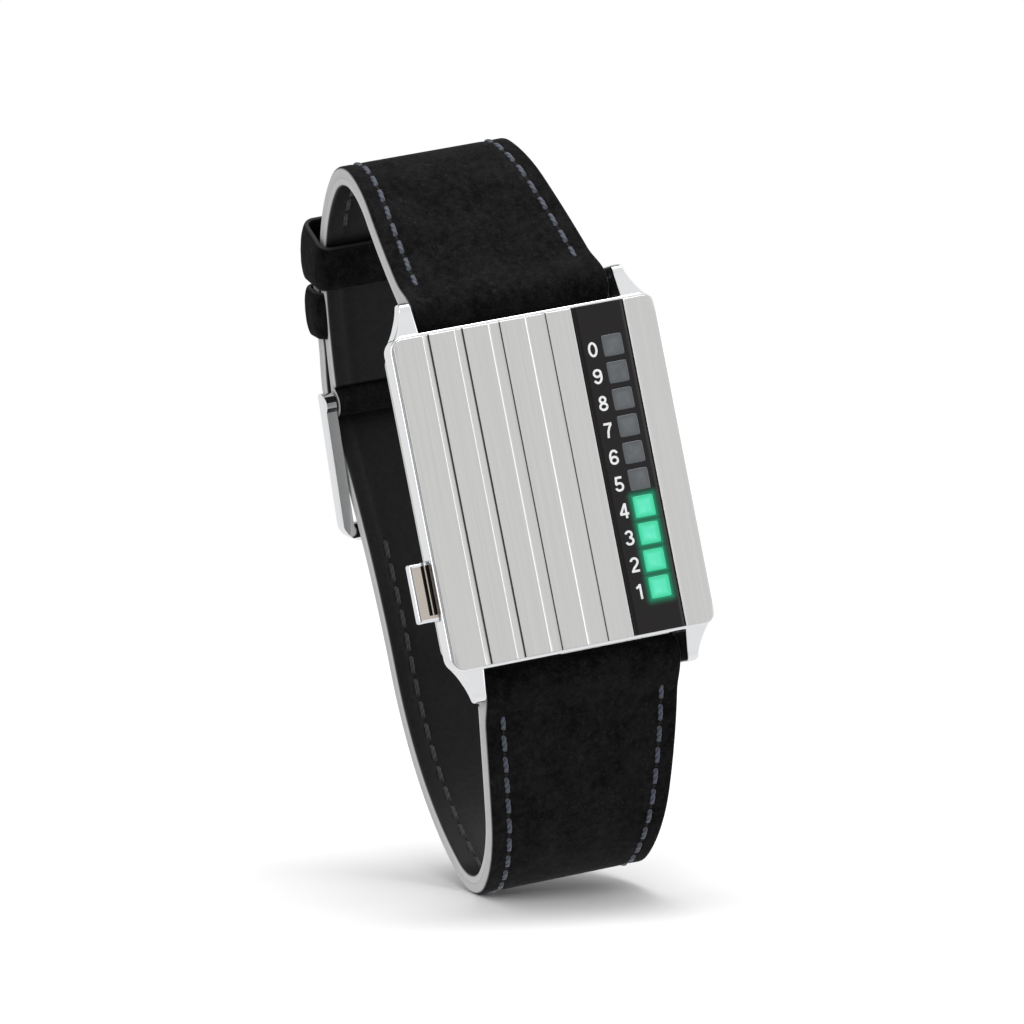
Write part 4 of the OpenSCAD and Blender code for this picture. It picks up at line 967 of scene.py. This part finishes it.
def strap_section(half, low, high, round_out, round_in, dips):
    """Round-cornered sections, one a row: across the outer face, round its corner, down the side, and back
    along the inner face. Gives x, off and how far each point is painted as edge."""
    lean = math.pi / 2 * 0.92
    across = np.sin(np.linspace(-lean, lean, 41)) / math.sin(lean)
    turn = np.linspace(90, 0, 7)[1:]
    half, low, high = half[:, None], low[:, None], high[:, None]
    thick = high - low
    r_out = np.minimum(np.minimum(round_out, thick * 0.5), half)
    r_in = np.minimum(np.minimum(round_in, thick * 0.5), half)
    c, s = np.cos(np.radians(turn)), np.sin(np.radians(turn))
    x_out, x_in = across * (half - r_out), -across * (half - r_in)
    fade = np.clip(thick / 0.8, 0, 1)
    top = high - (dip(x_out, half) * fade if dips[0] else 0)
    base = low + (dip(x_in, half) * fade if dips[1] else 0)
    rows_x = [x_out, half - r_out + r_out * c, half - r_in + r_in * c[::-1], x_in,
              -(half - r_in) - r_in * c, -(half - r_out) - r_out * c[::-1]]
    rows_off = [top + 0 * x_out, high - r_out + r_out * s, low + r_in - r_in * s[::-1], base + 0 * x_in,
                low + r_in - r_in * s, high - r_out + r_out * s[::-1]]
    ramp_down = np.clip((38 - turn) / 22, 0, 1)
    ones = np.ones_like(ramp_down)
    out_edge, in_edge = (ramp_down if dips[0] else ones), (ramp_down if dips[1] else ones)
    painted = np.concatenate([np.zeros(41), out_edge, in_edge[::-1], np.zeros(41), in_edge, out_edge[::-1]])
    rows = len(half)
    return (np.concatenate([np.broadcast_to(v, (rows, v.shape[1])) for v in rows_x], 1),
            np.concatenate([np.broadcast_to(v, (rows, v.shape[1])) for v in rows_off], 1),
            np.broadcast_to(painted, (rows, len(painted))))


def strap_skin(path, s, low, high, round_out, round_in, dips):
    """A strap layer: its section carried along the path. Both ends close because the section shrinks
    to a line there."""
    x, off, painted = strap_section(half_width(path, s), low, high, round_out, round_in, dips)
    return *skin_of(path.put(x, off, s[:, None])), painted


def stations(start, end, fine_start, fine_end, step=0.6):
    """Places along a strap, closer together near its ends."""
    ease = (1 - np.cos(np.linspace(0, math.pi / 2, 14)))
    return np.unique(np.concatenate([start + fine_start * ease, end - fine_end * ease,
                                     np.arange(start + fine_start, end - fine_end, step)]).round(5))


def eye(s, centre, radius):
    """Half thickness of the leather wrapped round a bar: a circle about the bar."""
    return root(radius ** 2 - (s - centre) ** 2)


def upper_layer(path, with_far_eye):
    """Outer layer from one bar to the other, or to the tail: a circle round each bar that runs into the band
    between UPPER_IN and half the strap's thickness. The fold at the lugs dies away as 1 - 3 t^2 + 2 t^3 over
    the length FOLD_EASE."""
    end = path.length + EYE_R if with_far_eye else path.length
    s = stations(-FOLD_R, end, 3.0, 2.4 if with_far_eye else 6.0)
    wrap = eye(s, 0, FOLD_R)
    if with_far_eye:
        wrap = np.maximum(wrap, eye(s, path.length, EYE_R))
    flat = (s > 0) & (s < path.length)
    t = np.clip(s / FOLD_EASE, 0, 1)
    swell = (FOLD_R - STRAP_T / 2) * (1 - 3 * t ** 2 + 2 * t ** 3)
    high = np.where(flat, np.maximum(STRAP_T / 2 + swell, wrap), wrap)
    low = np.where(flat, np.minimum(UPPER_IN, -wrap), -wrap)
    if not with_far_eye:
        high[-1], low[-1] = STRAP_T / 2, UPPER_IN
    return strap_skin(path, s, low, high, SUEDE_ROUND, SEAM_ROUND, (True, False))


def lining_layer(path, with_far_eye):
    """Inner layer, which starts where the eye round the bar ends and closes on a round nose."""
    end = path.length - LINING_BACK if with_far_eye else path.length
    s = stations(LINING_START, end, LINING_NOSE, LINING_NOSE if with_far_eye else 6.0)
    nose = np.clip((s - LINING_START) / LINING_NOSE, 0, 1)
    if with_far_eye:
        nose = np.minimum(nose, np.clip((end - s) / LINING_NOSE, 0, 1))
    nose = root(1 - (1 - nose) ** 2)
    middle = (UPPER_IN - STRAP_T / 2) / 2
    reach = (UPPER_IN + STRAP_T / 2) / 2 * nose
    return strap_skin(path, s, middle - reach, middle + reach, SEAM_ROUND, LINING_ROUND, (False, True))


def rod(path, s, radius, reach):
    """Closed round cutter across the strap's thickness at s."""
    turn = round_circle(40)
    off = np.array([-reach, -reach, reach, reach])[:, None]
    wide = np.array([0, radius, radius, 0])[:, None]
    points = path.put(wide * np.cos(turn), off, s)
    points += (wide * np.sin(turn))[..., None] * (path.put(0, 0, s + 0.5) - path.put(0, 0, s - 0.5))
    return make_mesh("rod", *skin_of(points), False)


def bar_bore(y, z):
    """Closed cutter along X for a spring bar's tube."""
    return drill([round_bar(0, BAR_BORE_R, -20, 20, (y, z))])


def box_in_buckle(x, y0, y1, z0, z1, turn):
    """Closed box cutter in the buckle's frame, turned about its bar by an angle from +Z towards +Y."""
    a = math.radians(turn - FRAME_LEAN)
    corner, faces = block(-x, x, y0, y1, z0, z1)
    y = corner[:, 1] * math.cos(a) + corner[:, 2] * math.sin(a)
    z = -corner[:, 1] * math.sin(a) + corner[:, 2] * math.cos(a)
    return drill([(np.column_stack([corner[:, 0], BUCKLE_Y + y, BUCKLE_Z + z]), faces)])


def strap_piece(name, layer, material, replaces, knives):
    """A layer of a strap as a piece, cut by its knives."""
    points, faces, painted = layer
    thing = piece(name, make_mesh(name, points, faces, edge=painted), material, "watch", replaces)
    welded(thing)
    cut(thing, knives)
    dressed(welded(thing, 40), material)


def tongue_slot():
    """Cutter for the slot in the short strap that the tongue's eye sits in."""
    return box_in_buckle(TONGUE_W / 2 + 0.3, -3.5, 3.5, -4.0, 2.2, 0)


hole_zero = long.nearest(*past_eye[:2])
hole_spots = [hole_zero + k * HOLE_PITCH for k in HOLE_STEPS]


def long_knives():
    """Cutters for the tunnel of the tongue and for the holes beside it."""
    tunnel = box_in_buckle(TONGUE_W / 2 + 0.2, -TONGUE_T / 2 - HOLE_BELOW, TONGUE_T / 2 + HOLE_ABOVE, 0, 8.5,
                           TONGUE_ANGLE)
    return [tunnel] + [rod(long, s, HOLE_R, 2.2) for s in hole_spots]


strap_piece("strap_short_suede", upper_layer(short, True), suede_black,
            ["strap_short_upper"], [bar_bore(BAR_Y, BAR_Z), bar_bore(BUCKLE_Y, BUCKLE_Z), tongue_slot()])
strap_piece("strap_short_inner", lining_layer(short, True), lining_black,
            ["strap_short_lining"], [tongue_slot()])
strap_piece("strap_long_suede", upper_layer(long, False), suede_black, ["strap_long_upper"],
            [bar_bore(BAR_Y, -BAR_Z)] + long_knives())
strap_piece("strap_long_inner", lining_layer(long, False), lining_black,
            ["strap_long_lining"], long_knives())


def copies(points):
    """Points of several closed tubes, one to a first index, as one surface: (points, faces)."""
    count, rows, cols = points.shape[:3]
    ring = grid_faces(rows, cols, wrap_cols=True)
    faces = (ring[None] + (np.arange(count) * rows * cols)[:, None, None]).reshape(-1, 4)
    flat = points.reshape(-1, 3)
    return flat, facing_out(flat, faces)


def row_x(path, s, side):
    """Where a row of stitches runs across the strap."""
    return side * (half_width(path, s.ravel()).reshape(s.shape) - STITCH_IN)


def stitch_row(path, start, end, side, face, radius):
    """Stitches between two places, each a twisted thread. With t from -1 to 1 along it, it stands
    0.9 (1 - t^4) - 0.65 of the thread's radius above the groove, and its section has two lobes,
    cos(2 a - 9 t), that wind along it. Gives also how far each point is on a lobe."""
    count = int((end - start) / STITCH_PITCH)
    middle = start + (np.arange(count) + 0.5) * STITCH_PITCH
    middle, t = middle[:, None, None], np.linspace(-1, 1, 25)[None, :, None]
    around = round_circle(16)[None, None, :]
    s = middle + t * STITCH_L / 2
    surface = face * STRAP_T / 2 - face * GROOVE
    rise = radius * (0.9 * (1 - t ** 4) - 0.65)
    strand = np.cos(2 * around - 9 * t)
    lobed = radius * (1 + 0.1 * strand) * (0.35 + 0.65 * root(1 - t ** 6))
    lobed = lobed * (np.abs(t) < 1)
    x = row_x(path, s, side) + 0.05 * t + lobed * np.cos(around)
    off = surface + face * rise + 0.75 * lobed * np.sin(around)
    return *copies(path.put(x, off, s + 0 * around)), (0.5 + 0.5 * strand + 0 * x).ravel()


def needle_holes(path, start, end, side, face):
    """Needle holes between the stitches, shown as painted shade: flat dark domes, each the upper half of an
    ellipsoid on a base that is sunk into the leather."""
    count = int((end - start) / STITCH_PITCH)
    middle = (start + np.arange(count + 1) * STITCH_PITCH)[:, None, None]
    tilt = np.linspace(0, math.pi / 2, 5)[None, :, None]
    around = round_circle(14)[None, None, :]
    s = middle + 0.3 * np.cos(tilt) * np.sin(around)
    x = row_x(path, s, side) + 0.27 * np.cos(tilt) * np.cos(around)
    off = face * (STRAP_T / 2 - GROOVE + 0.06 * np.sin(tilt) - 0.02) + 0 * x
    points = path.put(x, off, s)
    base = path.put(x[:, :1], off[:, :1] - face * 0.05, s[:, :1])
    low = base.mean(2, keepdims=True) + 0 * base
    return copies(np.concatenate([low, base, points], 1))


def stitching(name, path, spans, face, material, radius):
    """Both rows of stitches along each span of a strap in one piece, and their needle holes in another."""
    rows = [stitch_row(path, a, b, side, face, radius) for a, b in spans for side in (-1, 1)]
    mesh = make_mesh(name, *joined([row[:2] for row in rows]), ply=np.concatenate([row[2] for row in rows]))
    welded(piece(name, mesh, material, "watch"))
    # the needle holes, as dark domes of painted shade
    holes = [needle_holes(path, a, b, side, face) for a, b in spans for side in (-1, 1)]
    welded(piece(name + "_holes", make_mesh(name + "_holes", *joined(holes)), needle_hole_shade, "watch"))


stitching("stitches_short", short, [SHORT_ROW], 1, thread_blue, THREAD_R)
stitching("stitches_long", long, [LONG_ROW, TAIL_ROW], 1, thread_blue, THREAD_R)
stitching("stitches_short_inside", short, [(INSIDE_START, SHORT_ROW[1])], -1, thread_inside, THREAD_R * 0.9)
stitching("stitches_long_inside", long, [(INSIDE_START, LONG_ROW[1])], -1, thread_inside, THREAD_R * 0.9)


# Keepers

def keeper(name, path, s_range, half, low, high, thick, body, node):
    """A leather loop: a rectangle round the strap with corners of radius corner, given a section of cos a to
    the power 0.45 along the strap and sin a to the power 0.5 across its thickness, which leaves it flat
    inside and domed outside. Its cut edges are painted."""
    middle, reach = (s_range[0] + s_range[1]) / 2, (s_range[1] - s_range[0]) / 2
    corner = 0.9
    wide, top, base = half - corner, high - corner, low + corner
    a = np.radians(np.linspace(0, 90, 9) + np.array([[0], [90], [180], [270]])).ravel()
    normal = np.column_stack([np.cos(a), np.sin(a)])
    loop = np.repeat([[wide, top], [-wide, top], [-wide, base], [wide, base]], 9, axis=0) + corner * normal
    fine = np.linspace(0, len(loop), 161)[:-1]
    index = np.arange(len(loop) + 1)
    wrap = lambda v: np.stack([np.interp(fine, index, np.append(v[:, i], v[0, i])) for i in range(2)], -1)
    loop, normal = wrap(loop), wrap(normal)
    a = round_circle(48)
    power = lambda v, n: np.sign(v) * np.abs(v) ** n
    s = middle + reach * power(np.cos(a), 0.45)
    up = power(np.sin(a), 0.5)
    dome = 1 - 0.42 * np.abs((s - middle) / reach) ** 2.2
    rise = np.where(up > 0, 0.35 * thick + 0.65 * thick * up * dome, 0.35 * thick + 0.35 * thick * up)
    x = loop[:, 0:1] + normal[:, 0:1] * rise
    off = loop[:, 1:2] + normal[:, 1:2] * rise
    painted = np.clip((np.abs(s - middle) - (reach - 0.16)) / 0.1, 0, 1) + 0 * x
    mesh = make_mesh(name, *skin_of(path.put(x, off, s + 0 * x), wrap_rows=True), edge=painted)
    piece(name, mesh, suede_keeper, body, [node])


keeper("keeper_fixed", short, FIXED_KEEPER, STRAP_END_W / 2 + 0.25, 0.3, TAIL_OFF + STRAP_T / 2 + 0.2,
       KEEPER_T, "watch", "fixed_keeper")
keeper("keeper_free", short, FREE_KEEPER, STRAP_END_W / 2 + KEEPER_PLAY, -STRAP_T / 2 - KEEPER_PLAY,
       TAIL_OFF + STRAP_T / 2 + KEEPER_PLAY, KEEPER_T, "keeper", "free_keeper")


# Display

def cell_grid(index, y):
    """A light cell's face, a square grid pulled in by 0.045 (u v)^6, which rounds its corners a little, with
    its marks rise and chip."""
    t = np.linspace(-1, 1, 25)
    u, v = np.meshgrid(t, t, indexing="ij")
    pull = 1 - 0.045 * (u * v) ** 6
    x = CELL_X + CELL_W / 2 * u * pull
    z = FIRST_Z - index * CELL_PITCH + CELL_W / 2 * v * pull
    rise = np.clip((1 - np.maximum(np.abs(u), np.abs(v))) / 0.55, 0, 1)
    chip = ((np.abs(u + 0.1) < 0.24) & (np.abs(v + 0.25) < 0.17)).astype(float)
    points = np.stack([x, y + 0 * x, z], -1).reshape(-1, 3)
    return points, grid_faces(25, 25), rise.ravel(), chip.ravel()


def cells(name, indexes, material):
    """Thin closed tiles on the glass, one for each cell."""
    parts, rise, chip = [], [], []
    for i in indexes:
        top, faces, r, c = cell_grid(i, GLASS_Y - CELL_LIFT)
        parts.append((top, faces[:, ::-1]))
        rise.append(r)
        chip.append(c)
    points, faces = joined(parts)
    mesh = make_mesh(name, points, faces, rise=np.concatenate(rise), chip=np.concatenate(chip))
    thing = piece(name, mesh, material, "watch")
    if mesh.polygons[0].normal.y > 0:
        mesh.flip_normals()
    tool = thing.modifiers.new("wall", "SOLIDIFY")
    tool.thickness, tool.offset = 0.00002, -1
    return settle(thing)


cells("cells_dark", range(CELLS - LIT), dark_cell)
cells("cells_lit", range(CELLS - LIT, CELLS), lit_cell)


def bow(x, y, wide, high, start, end):
    """Points on part of an ellipse, angles in degrees from +x towards +y."""
    a = np.radians(np.linspace(start, end, max(5, int(abs(end - start) / 9))))
    return np.column_stack([x + wide * np.cos(a), y + high * np.sin(a)])


def lines(*points):
    """Straight strokes from point to point."""
    return np.array(points, float)


FIGURE_L, FIGURE_X, FIGURE_DROP = 1.84, 7.93, 0.16
STROKE = 0.155      # width of the figures' strokes, in shares of their height

# Middle lines of the figures' strokes, in shares of their height, x from the middle and y from the foot
FIGURES = [
    [bow(0, 0.5, 0.25, 0.425, 0, 360)],
    [lines((0.07, 0), (0.07, 1)), lines((0.06, 0.95), (-0.02, 0.86), (-0.11, 0.79), (-0.21, 0.75))],
    [np.concatenate([bow(0, 0.7, 0.235, 0.225, 172, -28), lines((0.12, 0.46), (-0.06, 0.3), (-0.2, 0.08))]),
     lines((-0.28, 0.075), (0.29, 0.075))],
    [bow(-0.01, 0.725, 0.21, 0.2, 165, -90), bow(-0.01, 0.29, 0.245, 0.215, 90, -168)],
    [lines((0.12, 0), (0.12, 1)), lines((0.1, 0.97), (-0.26, 0.34)), lines((-0.32, 0.3), (0.31, 0.3))],
    [lines((-0.2, 0.925), (0.25, 0.925)), lines((-0.14, 0.96), (-0.2, 0.5)),
     bow(0, 0.315, 0.25, 0.24, 148, -165)],
    [bow(0.01, 0.295, 0.24, 0.22, 0, 360), bow(0.04, 0.5, 0.28, 0.425, 205, 35)],
    [lines((-0.28, 0.925), (0.29, 0.925)), lines((0.24, 0.9), (0.1, 0.7), (-0.02, 0.42), (-0.08, 0))],
    [bow(0, 0.74, 0.195, 0.19, 0, 360), bow(0, 0.285, 0.245, 0.21, 0, 360)],
]
FIGURES.append([(0, 1) - stroke * (1, 1) for stroke in FIGURES[6]])


def ribbon(line, width, y, thick):
    """Closed flat bar along a line in X and Z: half the width to either side of each point, square to the way
    between the points beside it."""
    way = np.gradient(line, axis=0)
    side = np.column_stack([-way[:, 1], way[:, 0]]) / np.hypot(*way.T)[:, None] * width / 2
    a, b = line + side, line - side
    rings = np.stack([np.column_stack([p[:, 0], y + h + 0 * p[:, 0], p[:, 1]])
                      for p, h in ((a, 0), (b, 0), (b, thick), (a, thick))], 1)
    middle = rings.mean(1, keepdims=True) + 0 * rings
    return skin_of(np.concatenate([middle[:1], rings, middle[-1:]]))


def numerals():
    """The ten numerals, each drawn by its strokes beside its cell, one on another by 0.002 mm."""
    parts = []
    for i, figure in enumerate((0, 9, 8, 7, 6, 5, 4, 3, 2, 1)):
        foot = (FIGURE_X, FIRST_Z - i * CELL_PITCH - FIGURE_DROP - FIGURE_L / 2)
        parts += [ribbon(foot + stroke * FIGURE_L, STROKE * FIGURE_L, GLASS_Y - CELL_LIFT - 0.002 * k, 0.02)
                  for k, stroke in enumerate(FIGURES[figure])]
    piece("numerals", make_mesh("numerals", *joined(parts), smooth=False), ink, "watch")


numerals()


# Floor, light and camera

RIGHT = (0.92768, -0.32045, -0.19163)
UP = (0.17808, -0.07136, 0.98143)
BACK = (-0.32818, -0.94457, -0.00914)
EYE_AT = (-0.363135, -1.036731, -0.012632)
LIT_AT = (0, 0.01, 0)
ROOM_TONE = 0.9
FLOOR_R, FLOOR_TILT = 0.9, math.radians(7)


def aimed(thing, right, up, back, at):
    """Sets an object at a point with its own X, Y and Z along right, up and back."""
    turn = np.eye(4)
    turn[:3, :3] = np.column_stack([right, up, back])
    turn[:3, 3] = at
    thing.matrix_world = Matrix(turn.tolist())


def camera():
    """Long lens at the photograph's viewing angle."""
    lens = bpy.data.cameras.new("camera")
    lens.lens, lens.sensor_width = 316.4, 36.0
    lens.clip_start, lens.clip_end = 0.05, 50
    thing = placed("camera", lens)
    aimed(thing, RIGHT, UP, BACK, EYE_AT)
    bpy.context.scene.camera = thing


def floor():
    """Pale disc under the strap's lowest corner, level in the picture, that fades out to the white round it
    and is not seen from below."""
    normal = unit(np.array(UP) * math.cos(FLOOR_TILT) + np.array(BACK) * math.sin(FLOOR_TILT))
    points = np.concatenate([np.array([v.co for v in o.data.vertices]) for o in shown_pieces()])
    lowest = points[np.argmin(points @ normal)]
    side = unit(np.cross(normal, BACK))
    ahead = np.cross(normal, side)
    share = np.linspace(0, 1, 40)[:, None] ** 1.5
    radius = FLOOR_R * share
    turn = round_circle(96)[None]
    flat = (lowest - normal * 0.00005 + (radius * np.cos(turn))[..., None] * side
            + (radius * np.sin(turn))[..., None] * ahead).reshape(-1, 3)
    mesh = make_mesh("floor", flat / MM, grid_faces(40, 96, wrap_cols=True), near=(1 - share + 0 * turn))
    f = Finish("floor pale")
    near = f.ranged(f.mark("near"), 0.35, 0.85)
    board = f.node("ShaderNodeBsdfPrincipled", {"Base Color": (0.8, 0.8, 0.8, 1), "Roughness": 0.9,
                                                "Specular IOR Level": 0.1})
    clear = f.node("ShaderNodeBsdfTransparent")
    behind = f.node("ShaderNodeNewGeometry", out="Backfacing")
    seen = f.node("ShaderNodeLightPath", out="Is Camera Ray")
    shown = f.node("ShaderNodeMixShader", [near * (1 - behind) * seen, clear, board])
    f.node("ShaderNodeOutputMaterial", {"Surface": shown})
    thing = placed("floor", mesh)
    mesh.materials.append(f.material)
    if np.array(mesh.polygons[200].normal) @ normal < 0:
        mesh.flip_normals()
    thing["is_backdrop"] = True


def light(name, at, size, power):
    """Soft square light that looks at the watch."""
    lamp = bpy.data.lights.new(name, "AREA")
    lamp.shape, lamp.size, lamp.size_y, lamp.energy = "RECTANGLE", size[0], size[1], power
    way = unit(np.subtract(at, LIT_AT))
    side = unit(np.cross((0, 0, 1), way))
    aimed(placed(name, lamp), side, np.cross(way, side), way, at)


def surround():
    """White room as the camera sees it. What the steel mirrors is a bright room, a little brighter overhead
    and underfoot and much brighter to the right, darker round the camera and up behind the watch."""
    room = bpy.data.worlds.new("room")
    bpy.context.scene.world = room
    f = Finish("room", room)
    way = f.node("ShaderNodeTexCoord", out="Generated")
    height = f.axis(way, "Z")

    def patch(towards, wide, narrow, outside, inside):
        """One value outside an angle in degrees from a direction, and another inside a narrower one."""
        facing = f.node("ShaderNodeVectorMath", [way, towards], out="Value", operation="DOT_PRODUCT")
        return f.ranged(facing, math.cos(math.radians(wide)), math.cos(math.radians(narrow)), outside, inside)

    tone = f.ranged(height, -1.0, -0.4, 1.0, ROOM_TONE) + f.ranged(height, 0.2, 1.0, 0.0, 0.1)
    tone = tone * patch(BACK, 24, 9, 1.0, 0.3)
    tone = tone * patch((0, 0.5, 0.866), 42, 25, 1.0, 0.4)
    tone = tone + patch((0.985, -0.17, 0), 42, 30, 0.0, 0.8)
    mirrored = f.node("ShaderNodeBackground", [tone, 1.0])
    white = f.node("ShaderNodeBackground", [(1, 1, 1, 1), 1.0])
    camera_ray = f.node("ShaderNodeLightPath", out="Is Camera Ray")
    f.node("ShaderNodeOutputWorld", {"Surface": f.node("ShaderNodeMixShader", [camera_ray, mirrored, white])})


bpy.context.scene.view_settings.view_transform = "Standard"
camera()
surround()
floor()
light("left", (-0.9, -0.5, 0.35), (0.7, 0.9), 2)
light("top", (0.1, -0.15, 0.95), (0.7, 0.5), 7)
